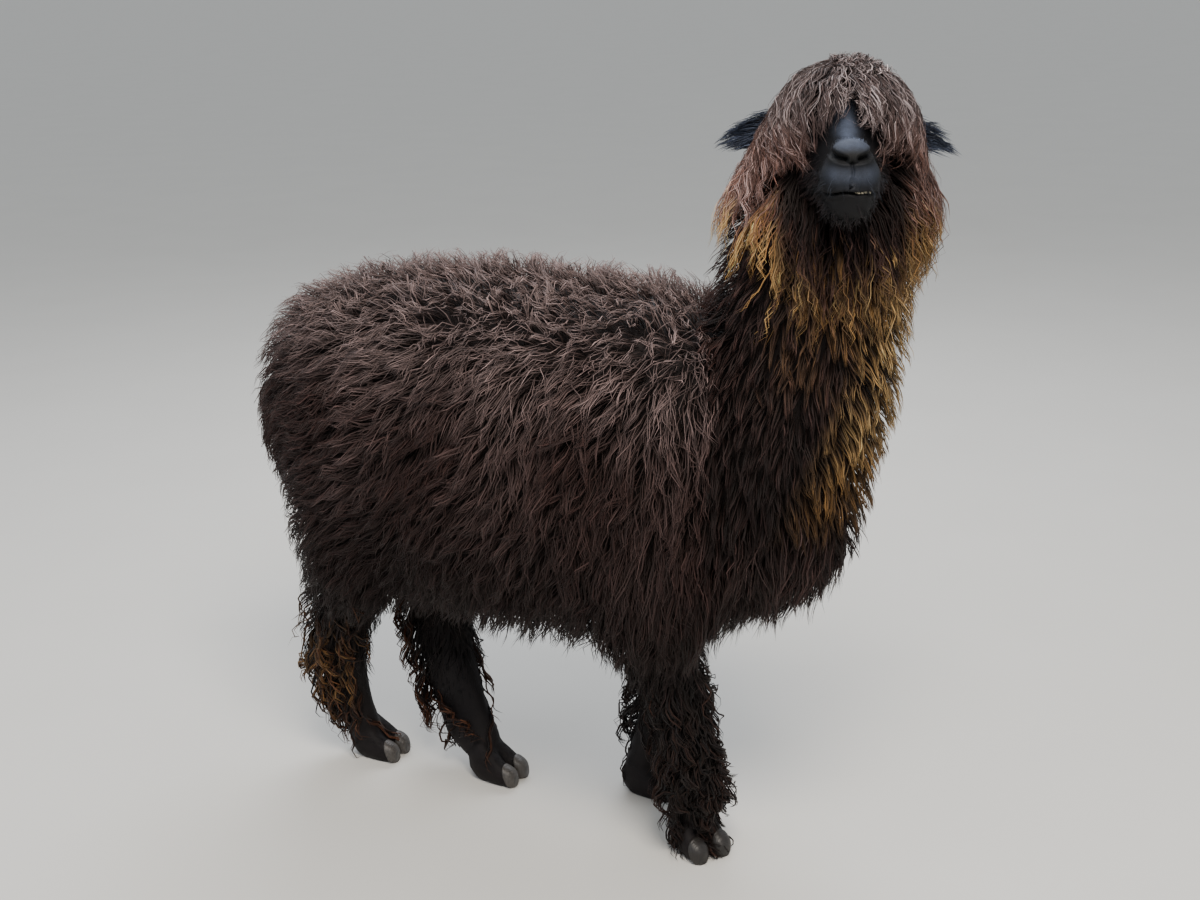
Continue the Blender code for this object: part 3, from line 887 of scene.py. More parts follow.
@dataclass(frozen=True)
class Markings:
    """The animal's colours as smooth areas over its body, the same for skin and coat. The methods that
    give shades take the locks' middle lines, (lock, step, 3), and the piece's own random numbers."""

    # dark bases of the locks and the skin beneath the fleece; near black, it also stands as painted shade
    # deep in the coat
    under: str = "#130b0a"
    black: str = "#0c0c0f"
    # painted sheen: the blue-grey of light on the short black hair of the nose's ridge and lips
    blue_grey_sheen: str = "#454d5e"
    deep: str = "#1e1312"
    body: str = "#3f2b28"
    # dust and sun-bleaching on the back, with painted light from the sky
    dust_and_skylight: str = "#9a8582"
    gold: str = "#8f6a3b"
    straw: str = "#c9aa76"
    russet: str = "#694538"
    # ashen grey strands, with painted highlight on them
    ash_and_highlight: str = "#b3a6a7"
    inner_ear: str = "#2e3443"
    shank: str = "#110c0d"
    lock: str = "#5a3622"
    pad: str = "#050506"

    def face_share(self, points: Array) -> Array:
        """How far points belong to the black face: near the muzzle and ahead of the cheeks' front.

        Args:
            points: Row-frame points.

        Returns:
            Shares from nought to one.
        """
        local = HEAD.into(points)
        reach = np.linalg.norm(local - np.array([0, -0.13, -0.01]), axis=1)
        return ease(reach, 0.125, 0.105) * ease(local[:, 1], -0.035, -0.060)

    def skin(self, points: Array) -> Array:
        """The colour of skin and of the bases of the locks: near black under the fleece, where it also
        stands as painted shade deep in the coat; black towards the feet, on the face and at the nose, with
        a painted blue-grey sheen along the nose's ridge and round the lips, and painted shade along the
        mouth's line.

        Args:
            points: Row-frame points.

        Returns:
            Linear colours.
        """
        head = HEAD.into(points)
        x, y, z = head.T
        colour = np.broadcast_to(linear(self.under), points.shape)
        colour = mixed(colour, self.shank, ease(points[:, 2], 0.38, 0.20))
        face = self.face_share(points)
        colour = mixed(colour, self.black, face)
        wide = np.interp(y, [-0.208, -0.160], [0.036, 0.015])
        # painted sheen along the top of the nose's ridge, where it faces the light
        colour = mixed(colour, self.blue_grey_sheen, face * ease(z, 0.040, 0.052) * bell(x, wide) * 0.9)
        lips = face * ease(y, -0.17, -0.20) * ease(np.abs(x), 0.050, 0.022) * bell(z - 0.012, 0.013)
        # painted sheen round the lips
        colour = mixed(colour, self.blue_grey_sheen, lips * 0.34)
        return mixed(colour, self.pad, self.pad_and_mouth_shade(head))

    def pad_and_mouth_shade(self, head: Array) -> Array:
        """How far points belong to the bare black skin round the nostrils, and to the painted shade along
        the mouth's line.

        Args:
            head: Points in the head's frame.

        Returns:
            Shares from nought to one.
        """
        x, y, z = np.abs(head[:, 0]), head[:, 1], head[:, 2]
        pad = bell(z - 0.0350 - 0.10 * x, 0.0105) * ease(x, 0.038, 0.031) * ease(y, -0.196, -0.204)
        # painted shade in the gap of the mouth
        mouth = bell(z + MOUTH_DROP + MOUTH_BEND * x**2, 0.0032) * ease(y, -0.118, -0.150)
        return np.clip(pad + mouth, 0, 1)

    def fleece(self, points: Array, rng: Rng) -> Shades:
        """Dark brown; dust and sun-bleaching along the back, paler there by painted light from the sky;
        darker down the flanks and nearly black under the belly by painted shade.

        Args:
            points: The locks' middle lines.
            rng: Random numbers.

        Returns:
            Their shades.
        """
        roots = points[:, 0]
        z = roots[:, 2:]
        patch = 0.16 * drift(roots, 0.22, 31)[:, :1] + 0.14 * rng.random((len(roots), 1))
        # the back paler by dust and bleaching, and by painted light from above
        tip = mixed(self.body, self.dust_and_skylight, np.clip(ease(z, 0.79, 1.01) + patch, 0, 1))
        # painted shade, deepening down the flanks
        tip = mixed(tip, self.deep, ease(z, 0.80, 0.52) * 0.95)
        # painted shade under the belly, in the legs' black
        tip = mixed(tip, self.shank, ease(z, 0.52, 0.40) * 0.7)
        return Shades(mixed(self.under, self.body, 0.08 + 0 * z), tip, 1.45 + 0 * z)

    def neck(self, points: Array, rng: Rng) -> Shades:
        """Dark brown with golden tips, palest on the neck's front edge; the gold is lost towards the chest,
        where the brown is darker by painted shade.

        Args:
            points: The locks' middle lines.
            rng: Random numbers.

        Returns:
            Their shades.
        """
        x, y, z = np.moveaxis(points, -1, 0)
        heights, fronts = (0.64, 0.78, 0.93, 1.06, 1.19), (-0.350, -0.430, -0.500, -0.525, -0.540)
        lead = 0.515 * (x + 0.012) - 0.857 * (y - (np.interp(z, heights, fronts) + MIDDLE[1]))
        patch = 0.50 + 0.75 * drift(points[:, 0], 0.05, 33)[:, 1:2]
        middle = ease(z, 0.84, 1.00) * ease(lead, -0.10, -0.02) * np.clip(patch, 0.1, 1.1)
        edge = ease(lead, 0.045, 0.125) * ease(z, 0.60, 0.78)
        gold = np.clip(0.58 * (middle * ease(z, 1.16, 1.11)) + 0.9 * edge, 0, 1)
        # painted shade, darker down the neck towards the chest
        tip = mixed(mixed(self.body, self.deep, ease(z, 1.02, 0.70)), self.gold, gold)
        tip = mixed(tip, self.straw, edge * ease(z, 0.70, 0.86) * rng.random((len(x), 1)) ** 0.7)
        return Shades(mixed(self.under, self.gold, 0.05 * gold), tip, 1.6 + 0.9 * gold[:, -1:])

    def fringe(self, points: Array, rng: Rng) -> Shades:
        """Dark brown strands with ropes among them of ashen grey and painted highlight, russet where they
        fall to the cheeks; the ropes paler and the falling strands lighter on the animal's right than on
        its left, by painted light.

        Args:
            points: The locks' middle lines.
            rng: Random numbers.

        Returns:
            Their shades.
        """
        x, _, z = np.moveaxis(LEVEL.into(points), -1, 0)
        rope = drift(points[:, 0], 0.0095, 37)[:, :1] + 0.18 * drift(points[:, 0], 0.06, 38)[:, :1]
        ash_and_highlight = np.clip(0.09 + ease(rope, 0.06, 0.80) * rng.uniform(0.30, 1.1, (len(points), 1)), 0, 1)
        # fewer pale ropes on the animal's left, as painted light, and at the very top
        ash_and_highlight = ash_and_highlight * (1 - 0.30 * ease(x[:, :1], 0.020, 0.070)) * (1 - 0.30 * ease(z[:, :1], 0.090, 0.108))
        fall = ease(z, 0.065, -0.02) * ease(np.abs(x + 0.01), 0.015, 0.060)
        dark = mixed(self.body, self.deep, 0.7 * ease(rope, 0.25, -0.35))
        tip = mixed(mixed(dark, self.ash_and_highlight, ash_and_highlight), self.russet, fall * 0.62)
        tip = mixed(tip, self.deep, 0.6 * fall * ease(rope, 0.10, -0.20))
        # painted light: the falling strands lighter on the animal's right
        tip = tip * (1 + 0.7 * fall * ease(x, -0.020, -0.085))[..., None]
        return Shades(mixed(self.deep, self.ash_and_highlight, ash_and_highlight * 0.40), tip, 0.6 + 0 * ash_and_highlight)

    def cheeks(self, points: Array, rng: Rng) -> Shades:
        """Russet at the top of the cheeks with pale strands of painted highlight, golden at their lower
        edge, lighter on the animal's right by painted light, and under the chin nearly black, dark brown
        deepened by painted shade, down to golden tips.

        Args:
            points: The locks' middle lines.
            rng: Random numbers.

        Returns:
            Their shades.
        """
        x, _, high = np.moveaxis(LEVEL.into(points), -1, 0)
        side = ease(np.abs(x), 0.080, 0.112)
        light = rng.random((len(points), 1)) ** 2.0
        low = high + rng.normal(0, 0.022, (len(points), 1)) + 0.030 * drift(points[:, 0], 0.05, 39)[:, :1]
        golden = mixed(self.gold, self.straw, light)
        # painted highlight on pale strands at the top of the cheeks
        cheek = mixed(self.russet, self.ash_and_highlight, 0.60 * light * ease(high, -0.15, -0.05))
        cheek = mixed(cheek, golden, ease(low, -0.075, -0.165) * 0.9)
        # under the chin nearly black: dark brown with painted shade
        bib = mixed(self.under, self.body, ease(low, -0.095, -0.150))
        bib = mixed(bib, golden, ease(low, -0.155, -0.215) * rng.uniform(0.0, 1.0, (len(points), 1)))
        # painted light: the cheeks lighter on the animal's right
        cheek = cheek * (1 + 0.95 * ease(x, -0.020, -0.085))[..., None]
        tip = mixed(bib, cheek, side)
        return Shades(mixed(self.under, tip, 0.20 * side), tip, 1.5 + 0 * light)

    def ears(self, points: Array, rng: Rng) -> Shades:
        """Blue-black, from lock to lock a little paler towards the blue-grey of the face's painted sheen.

        Args:
            points: The locks' middle lines.
            rng: Random numbers.

        Returns:
            Their shades.
        """
        share = rng.random((len(points), 1))
        tip = mixed(self.inner_ear, self.blue_grey_sheen, share * 0.8)
        return Shades(mixed(self.black, self.inner_ear, share), tip, 0.7 + 0 * share)

    def face(self, points: Array, rng: Rng) -> Shades:
        """As the skin below, a little paler at the tips."""
        skin = self.skin(points[:, 0])[:, None]
        return Shades(skin, skin * 2.0 + 0.006, np.ones((len(points), 1)))

    def beard(self, points: Array, rng: Rng) -> Shades:
        """Black, browner towards the throat.

        Args:
            points: The locks' middle lines.
            rng: Random numbers.

        Returns:
            Their shades.
        """
        back = ease(HEAD.into(points[:, 0])[:, 1:2], -0.17, -0.06)
        tip = mixed(self.shank, self.body, 0.2 + 0.5 * back)
        return Shades(mixed(self.black, self.under, back), tip, 1.2 + 0 * back)

    def legs(self, points: Array, rng: Rng) -> Shades:
        """Near black, brown above.

        Args:
            points: The locks' middle lines.
            rng: Random numbers.

        Returns:
            Their shades.
        """
        high = ease(points[:, 0, 2:], 0.24, 0.46)
        tip = mixed(self.shank, self.deep, high)
        return Shades(mixed(self.pad, self.under, high), tip, 1.2 + 0 * high)

    def curls(self, points: Array, rng: Rng) -> Shades:
        """Black curls with brown ones among them, the brownest behind, golden at the near hock.

        Args:
            points: The locks' middle lines.
            rng: Random numbers.

        Returns:
            Their shades.
        """
        _, y, z = np.moveaxis(points[:, :1], -1, 0)
        brown = np.clip(0.5 + 0.8 * drift(points[:, 0], 0.018, 43)[:, :1], 0, 1)
        brown = brown * rng.uniform(0.4, 1, (len(points), 1))
        behind = ease(y, 0.10, 0.25)
        hock = ease(y, 0.36, 0.44) * bell(z - 0.30, 0.085) * ease(rng.random((len(points), 1)), 0.15, 0.65)
        tip = mixed(self.shank, self.lock, np.clip(brown * (0.22 + 0.9 * behind), 0, 1))
        root = mixed(self.pad, self.lock, brown * behind * 0.2)
        return Shades(root, mixed(tip, self.gold, hock * 0.5), 1.0 + 0 * hock)


# ---- skin
@dataclass
class Ground:
    """The skin as loose triangles, from which the coat grows."""

    corners: Array
    maps: Array
    labels: Array

    def __post_init__(self) -> None:
        """Works out areas, directions and centres, the last also in the head's two frames."""
        edges = self.corners[:, 1:] - self.corners[:, :1]
        cross = np.cross(edges[:, 0], edges[:, 1])
        self.area = np.linalg.norm(cross, axis=1) / 2
        self.facing = unit(cross)
        self.centre = self.corners.mean(1)
        self.head = HEAD.into(self.centre)
        self.level = LEVEL.into(self.centre)

    def of(self, *names: str) -> Array:
        """One on the triangles of the named masses, nought elsewhere."""
        return np.isin(self.labels, names).astype(float)

    def sow(self, weight: Array, count: int, rng: Rng) -> tuple[Array, Array, Array]:
        """Scatters roots, as many on a triangle as its area and weight ask for.

        Args:
            weight: How dense the coat is on each triangle.
            count: How many roots.
            rng: The piece's own seeded generator.

        Returns:
            The roots, their skin's directions and their places on the map.
        """
        share = np.cumsum(self.area * weight)
        chosen = np.searchsorted(share, (np.arange(count) + rng.random(count)) / count * share[-1])
        chosen = np.minimum(chosen, len(share) - 1)
        a, b = rng.random(count), rng.random(count)
        fold = a + b > 1
        a, b = np.where(fold, 1 - a, a), np.where(fold, 1 - b, b)
        parts = np.stack([1 - a - b, a, b], 1)[:, :, None]
        roots, places = ((three[chosen] * parts).sum(1) for three in (self.corners, self.maps))
        return roots, self.facing[chosen], places


@dataclass
class Skin:
    """One skin for the whole animal, with its face worked out: nostrils, cleft lip, mouth, lids, ears."""

    build: Build
    voxel: float = 0.0082
    finer: tuple[float, ...] = (0.045, 0.150, 0.186)  # each time further forward, faces are divided again
    head_reach: float = 0.26
    foot_height: float = 0.075
    nostril: Pair = (0.0105, 0.0350)  # beside and above the head's line
    nostril_run: Pair = (0.0195, 0.0042)  # how far its slit goes outward and up
    lid_rise: float = 0.0098
    lid_reach: float = 0.0155
    lid_steps: int = 40
    lid_sides: int = 10
    ear_rows: Rows = (  # the left ear's middle line and half width
        (0.052, 0.016, 0.016, 0.016), (0.070, 0.024, 0.016, 0.022), (0.092, 0.031, 0.013, 0.026),
        (0.118, 0.038, 0.006, 0.022), (0.138, 0.044, -0.003, 0.013), (0.152, 0.047, -0.011, 0.003))
    ear_sides: int = 20

    def rough(self) -> Mesh:
        """The masses' shells as one closed surface, by a voxel remesh, with its joins eased.

        Returns:
            The mesh, without a material.
        """
        masses = self.build.skin().masses
        shells = [mass.shell() for mass in masses]
        starts = np.cumsum([0, *(len(points) for points, _ in shells)])
        points = np.vstack([points for points, _ in shells])
        faces = [tuple(k + start for k in face)
                 for (_, some), start in zip(shells, starts) for face in some]
        helper = mesh_object("rough skin", points, faces, bpy.data.materials.new("helper"))
        outward(helper)
        remesh = helper.modifiers.new("one skin", "REMESH")
        remesh.mode = "VOXEL"
        remesh.voxel_size = self.voxel
        blend = helper.modifiers.new("eased joins", "SMOOTH")
        blend.iterations, blend.factor = 6, 0.5
        bpy.context.view_layer.update()
        mesh = bpy.data.meshes.new_from_object(helper.evaluated_get(bpy.context.evaluated_depsgraph_get()))
        bpy.data.objects.remove(helper)
        return mesh

    def refine(self, mesh: Mesh, where: Rule) -> None:
        """Divides the edges of the faces whose middles lie where asked.

        Args:
            mesh: The mesh to change.
            where: Says of each point whether it lies there.
        """
        shape = bmesh.new()
        shape.from_mesh(mesh)
        shape.faces.ensure_lookup_table()
        middles = np.array([face.calc_center_median() for face in shape.faces])
        chosen = [shape.faces[i] for i in np.flatnonzero(where(middles))]
        edges = list({edge for face in chosen for edge in face.edges})
        bmesh.ops.subdivide_edges(shape, edges=edges, cuts=1, use_grid_fill=True)
        shape.to_mesh(mesh)
        shape.free()

    def settle(self, points: Array) -> Array:
        """Moves points to where the skin's distance is nought, in two steps along its slope.

        Args:
            points: Row-frame points near the skin.

        Returns:
            The moved points.
        """
        union = self.build.skin()
        for _ in range(2):
            away, slope = union.sense(points)
            points = points - slope * np.clip(away, -0.006, 0.006)[:, None]
        return points

    def relief(self, points: Array, slope: Array) -> Array:
        """The face's folds, as a height over the masses: sunken bell-shaped troughs along the nostrils, the
        lip's cleft, the mouth and under the nose, with raised rims beside them, and a socket for each eye.

        Args:
            points: Row-frame points.
            slope: The skin's directions there.

        Returns:
            The moved points.
        """
        local = HEAD.into(points)
        x, y, z = local.T
        ax = np.abs(x)
        front = ease(y, -0.150, -0.188)
        (start, base), (run, rise) = self.nostril, self.nostril_run
        t = np.clip(((ax - start) * run + (z - base) * rise) / (run**2 + rise**2), 0, 1)
        slit = np.hypot(ax - start - run * t, z - base - rise * t)
        open_part = ease(y, -0.180, -0.200)
        height = -0.0120 * bell(slit, 0.0029 + 0.0022 * t) + 0.0014 * bell(slit - 0.0072, 0.0026)
        height = open_part * height
        height += -0.0032 * ease(y, -0.120, -0.175) * ease(ax, 0.020, 0.036) * ease(z, 0.010, 0.034)
        height += -front * 0.0026 * bell(z - 0.0290 - 0.10 * ax, 0.0020) * ease(ax, 0.032, 0.024)
        cleft = bell(x + 0.0012 * np.sin(z * 260), 0.0021) * ease(z, -0.006, 0.012)
        height += -front * 0.0030 * cleft * ease(z, 0.0345, 0.0295)
        mouth = z + MOUTH_DROP + MOUTH_BEND * ax**2 + MOUTH_SWAY * np.sin(x * MOUTH_SWAYS)
        gape = 0.0015 + 0.0011 * bell(x - 0.015, 0.011)
        along = ease(y, -0.118, -0.150)
        height += along * (-0.0085 * bell(mouth, gape) + 0.0011 * bell(np.abs(mouth) - 0.0056, 0.0028))
        moved = points + slope * height[:, None]
        for side in (-1, 1):
            middle, gaze, across, above = self.eye_axes(side)
            off = local - middle
            almond = np.hypot(off @ across / self.lid_reach, off @ above / self.lid_rise)
            near = ease(off @ gaze, -0.012, 0.0)
            sink = 0.016 * ease(almond, 1.04, 0.80) * near - 0.0016 * bell(almond - 1.35, 0.25) * near
            moved -= HEAD.turned(gaze[None]) * sink[:, None]
        return moved

    def eye_axes(self, side: int) -> tuple[Array, Array, Array, Array]:
        """How an eye lies in the head's frame.

        Args:
            side: 1 for the left, -1 for the right.

        Returns:
            Its middle, and its gaze, level and upright directions.
        """
        gaze = unit(np.array([side * 0.80, -0.60, -0.05]))
        across = unit(np.cross(gaze, UP))
        return np.array([side, 1, 1]) * EYE_MIDDLE, gaze, across, np.cross(across, gaze)

    def lid(self, side: int) -> tuple[Array, Faces]:
        """A pair of lids: a rounded rim carried round an almond that lies on the eyeball, thicker above.

        Args:
            side: 1 for the left, -1 for the right.

        Returns:
            Row-frame points and faces.
        """
        middle, gaze, across, above = self.eye_axes(side)
        turn, ring = full_turn(self.lid_steps)[:, None], full_turn(self.lid_sides)[None]
        a = self.lid_reach * np.cos(turn) * (1 + 0 * ring)
        b = self.lid_rise * np.sin(turn) * np.abs(np.sin(turn)) ** 0.25 * (1 + 0 * ring)
        deep = np.sqrt(np.maximum((EYE_RADIUS + 0.0004) ** 2 - a**2 - b**2, 1e-6))
        thick = 0.0024 + 0.0012 * np.maximum(np.sin(turn), 0)
        away = unit(np.stack([np.cos(turn), np.sin(turn) * 1.2], -1))
        a = a + thick * np.cos(ring) * away[..., 0] * 1.5 + thick * away[..., 0]
        b = b + thick * np.cos(ring) * away[..., 1] * 1.5 + thick * away[..., 1]
        deep = deep + thick * np.sin(ring)
        local = middle + a[..., None] * across + b[..., None] * above + deep[..., None] * gaze
        faces = wrapped_faces(self.lid_steps, self.lid_sides, ring=True)
        return HEAD.out(local.reshape(-1, 3)), faces

    def ear(self, side: int) -> tuple[Array, Faces]:
        """An ear: a thin spear-shaped tube whose section is bent forward into a cup: its edges lie ahead of
        its middle by the square of the cosine round the section.

        Args:
            side: 1 for the left, -1 for the right.

        Returns:
            Row-frame points and faces.
        """
        rows = catmull_rom(np.array(self.ear_rows), 5)
        if side < 0:  # the right ear is held higher
            rows = rows * np.array([0.94, 1, 1, 1.05]) + np.array([0, 0, 0.010, 0])
        turn = full_turn(self.ear_sides)[None]
        width = rows[:, 3:4]
        centre = rows[:, :3] * np.array([side, 1, 1])
        cup = 0.55 * width * np.cos(turn) ** 2
        local = np.repeat(centre[:, None], turn.size, 1)
        local[..., 1] += 0.0028 * np.sin(turn) - cup
        local[..., 2] += width * np.cos(turn)
        return HEAD.out(local.reshape(-1, 3)), wrapped_faces(len(rows), turn.size)

    def ahead(self, points: Array, reach: float) -> Array:
        """Whether points lie on the head, further forward than a reach."""
        head = HEAD.into(points)
        return (head[:, 1] < -reach) & (np.linalg.norm(head, axis=1) < self.head_reach)

    def low(self, points: Array) -> Array:
        """Whether points lie on the feet."""
        return points[:, 2] < self.foot_height

    def make(self, finish: Material, markings: Markings) -> tuple[Piece, Ground]:
        """Builds the skin and the ground that the coat grows from.

        Args:
            finish: Its material.
            markings: Its colours.

        Returns:
            The piece, and its triangles with the label of the mass each belongs to.
        """
        mesh = self.rough()
        for reach in self.finer:
            self.refine(mesh, partial(self.ahead, reach=reach))
        self.refine(mesh, self.low)
        points = self.settle(read_points(mesh))
        _, slope = self.build.skin().sense(points)
        points = self.relief(points, slope)
        points[:, 2] = np.maximum(points[:, 2], FLOOR_CLEARANCE)
        faces = [tuple(polygon.vertices) for polygon in mesh.polygons]
        body_points = len(points)
        for made, some in (*(self.lid(side) for side in (-1, 1)), *(self.ear(side) for side in (-1, 1))):
            faces += [tuple(k + len(points) for k in face) for face in some]
            points = np.vstack([points, made])
        piece = mesh_object("skin", points, faces, finish)
        outward(piece)
        self.unwrap(piece)
        write_attribute(piece.data, "coat_colour", "FLOAT_COLOR", with_alpha(markings.skin(points)))
        return piece, self.ground(piece.data, points, body_points)

    def unwrap(self, piece: Piece) -> None:
        """Lays the skin out flat in pieces of little stretch.

        Args:
            piece: The skin.
        """
        piece.data.uv_layers.new(name=BAKE_MAP)
        bpy.context.view_layer.objects.active = piece
        piece.select_set(True)
        bpy.ops.object.mode_set(mode="EDIT")
        bpy.ops.mesh.select_all(action="SELECT")
        bpy.ops.uv.smart_project(angle_limit=1.15, island_margin=0.002)
        bpy.ops.object.mode_set(mode="OBJECT")
        piece.select_set(False)

    def ground(self, mesh: Mesh, points: Array, body_points: int) -> Ground:
        """Reads the finished skin back as triangles.

        Args:
            mesh: The skin.
            points: Its points.
            body_points: How many of them belong to the body and not to lids or ears.

        Returns:
            The ground.
        """
        mesh.calc_loop_triangles()
        corners = np.empty(len(mesh.loop_triangles) * 3, np.int32)
        loops = np.empty_like(corners)
        mesh.loop_triangles.foreach_get("vertices", corners)
        mesh.loop_triangles.foreach_get("loops", loops)
        flat = np.empty(len(mesh.loops) * 2, np.float32)
        mesh.uv_layers[BAKE_MAP].data.foreach_get("uv", flat)
        corners, loops = corners.reshape(-1, 3), loops.reshape(-1, 3)
        middles = points[corners].mean(1)
        union = self.build.skin()
        labels = np.array([mass.name for mass in union.masses], dtype="<U24")[union.nearest(middles)]
        labels[corners[:, 0] >= body_points] = "lid"
        labels[corners[:, 0] >= body_points + 2 * self.lid_steps * self.lid_sides] = "ear"
        return Ground(points[corners], flat.reshape(-1, 2)[loops].astype(float), labels)


# ---- the lie of the coat
def drift(points: Array, scale: float, seed: int) -> Array:
    """Smooth random vectors: seven sines of random directions, a scale or so long, mixed at random.

    Args:
        points: Row-frame points.
        scale: About how far apart the vectors change.
        seed: Which field.

    Returns:
        Vectors of a length about one.
    """
    rng = np.random.default_rng(seed)
    waves = unit(rng.normal(size=(7, 3))) * (2 * math.pi / scale) * rng.uniform(0.6, 1.6, (7, 1))
    return np.sin(points @ waves.T + rng.uniform(0, 6.3, 7)) @ (rng.normal(size=(7, 3)) / math.sqrt(7))


def gathered(points: Array, cell: float, seed: int) -> Array:
    """Numbers the clump of each point: the nearest of one random seed in each cell of a cubic lattice.

    Args:
        points: Row-frame points.
        cell: The lattice's step, about a clump's width.
        seed: Which lattice.

    Returns:
        Clump numbers, from nought without gaps.
    """
    own = np.floor(points / cell).astype(np.int64)
    least = np.full(len(points), np.inf)
    chosen = np.zeros(len(points), np.int64)
    for offset in np.stack(np.meshgrid(*[[-1, 0, 1]] * 3), -1).reshape(-1, 3):
        near = own + offset
        code = (near @ np.array([73856093, 19349663, 83492791]) + seed * 2654435761) & 0xFFFFFFFF
        code = (code ^ (code >> 15)) * 2246822519 & 0xFFFFFFFF
        code = (code ^ (code >> 13)) * 3266489917 & 0xFFFFFFFF
        jitter = np.stack([(code >> shift & 1023) / 1023.0 for shift in (0, 10, 20)], 1)
        away = ((points - (near + jitter) * cell) ** 2).sum(1)
        closer = away < least
        least = np.where(closer, away, least)
        chosen = np.where(closer, code, chosen)
    return np.unique(chosen, return_inverse=True)[1]


@dataclass(frozen=True)
class Lie:
    """Which way the hair lies on each area: every method takes row-frame points and gives directions
    there, as a plain direction plus smooth random swirls."""

    def trunk(self, points: Array) -> Array:
        """Down at the shoulder, leaning further back towards the rump, and parted loosely along the spine.

        Args:
            points: Row-frame points.

        Returns:
            Directions.
        """
        x, y, z = points.T
        lean = np.radians([2, 9, 26, 43, 60, 56, 34])
        lean = np.interp(y, [-0.42, -0.22, -0.02, 0.18, 0.36, 0.50, 0.63], lean)
        lean = lean * (1 - 0.30 * ease(z, 0.66, 0.44))
        top = ease(z, 0.89, 1.00)[:, None]
        side = vectors(0, np.sin(lean), -np.cos(lean))
        spine = vectors(np.clip(x / 0.10, -0.8, 0.8), 0.75, -0.2)
        small = drift(points, 0.055, 6) * (0.14 + 0.30 * top)
        return side * (1 - top) + spine * top + drift(points, 0.16, 5) * (0.18 + 0.42 * top) + small

    def neck(self, points: Array) -> Array:
        """Straight down, with small swirls."""
        return np.array([0.0, 0.02, -1.0]) + drift(points, 0.10, 7) * 0.12

    def hanging(self, points: Array) -> Array:
        """Down and a little back, as the wisps of belly and chest fall."""
        back = np.interp(points[:, 1], [-0.45, -0.1, 0.4], [0.05, 0.30, 0.55])
        return vectors(0, back, -1) + drift(points, 0.12, 9) * 0.16

    def crown(self, points: Array) -> Array:
        """Outward from the crown and down, turned a little towards the face.

        Args:
            points: Row-frame points.

        Returns:
            Directions.
        """
        x, y, _ = LEVEL.into(points).T
        flat = unit(vectors(x - 0.026, y - 0.030, 0))
        front = ease(y, 0.02, -0.05)[:, None]
        way = flat * (0.85 - 0.25 * front) + np.array([0, -0.42, 0]) * front + np.array([0, 0, -0.95])
        return LEVEL.turned(way) + drift(points, 0.06, 11) * 0.16

    def cheek(self, points: Array) -> Array:
        """Down, a little outward and back at the top."""
        aside = np.clip(LEVEL.into(points)[:, 0] / 0.12, -1, 1) * 0.25
        return LEVEL.turned(vectors(aside, 0.10, -1)) + drift(points, 0.07, 13) * 0.14

    def topknot(self, points: Array) -> Array:
        """Every way at once, a little towards the face."""
        return LEVEL.turned(np.array([[0.0, -0.35, 0.10]])) + drift(points, 0.025, 14) * 0.9

    def ear(self, points: Array) -> Array:
        """Outward to the ear's tip, drooping past it.

        Args:
            points: Row-frame points.

        Returns:
            Directions.
        """
        x = HEAD.into(points)[:, 0]
        droop = ease(np.abs(x), 0.12, 0.19)
        return HEAD.turned(vectors(np.sign(x), 0.10, -0.22 - 0.40 * droop)) + drift(points, 0.03, 15) * 0.20

    def beard(self, points: Array) -> Array:
        """Back along the jaw and down, outward at its sides."""
        x = HEAD.into(points)[:, 0]
        return HEAD.turned(vectors(x * 12, 0.45, -0.75)) + drift(points, 0.02, 18) * 0.35

    def face(self, points: Array) -> Array:
        """From the nose backwards, and down over the lips and jaw.

        Args:
            points: Row-frame points.

        Returns:
            Directions.
        """
        x, _, z = HEAD.into(points).T
        way = vectors(x * 9, 0.9, np.where(z > 0.03, 0.15, -0.45))
        return HEAD.turned(way) + drift(points, 0.03, 17) * 0.15

    def leg(self, points: Array) -> Array:
        """Down the leg and slightly back."""
        return np.array([0.0, 0.10, -1.0]) + drift(points, 0.07, 19) * 0.16

    def foot(self, points: Array) -> Array:
        """Forward and down over the toes."""
        return np.array([0.0, -0.75, -0.65]) + drift(points, 0.03, 21) * 0.10


# ---- the coat
@dataclass(frozen=True)
class Growth:
    """One area's locks, with their sizes in metres."""

    name: str
    slot: Slot
    count: int
    length: Pair
    width: float
    rings: int
    seed: int
    area: Callable[[Ground], Array]
    lie: Rule
    shades: Callable[[Array, Rng], Shades]
    clump: float = 0.016
    gather: float = 0.55  # how far the locks of a clump close up
    draw: float = 1.3  # how soon along the lock its clump closes: the lower, the sooner
    wave: float = 0.0
    wave_length: float = 0.05
    curl: float = 0.0  # how far the wave also goes out and in, as a share of its width
    hang: float = 0.0  # how far the locks leave the body's underside and hang
    swirl: float = 0.0  # how far each clump turns its own way
    vary: float = 0.14  # how far the clumps differ in length
    ragged: float = 0.0  # how far the clumps differ in height
    mixed: float = 0.38  # how far single locks differ in brightness
    loose: float = 0.50  # how far the waves within a clump are out of step, in radians
    steep: float = 2.2  # how soon a lock reaches its height
    stand: float = 1.0  # how far the tips rise from the skin, as a share of the coat's depth
    proud: float = 0.006  # how far the tips stand out past the outline
    flat: float = 0.55  # a lock's thickness as a share of its width
    free: bool = False  # grows on its own line and not to the outline
    ends: Rule | None = None  # how far points are within an edge that the locks may not pass


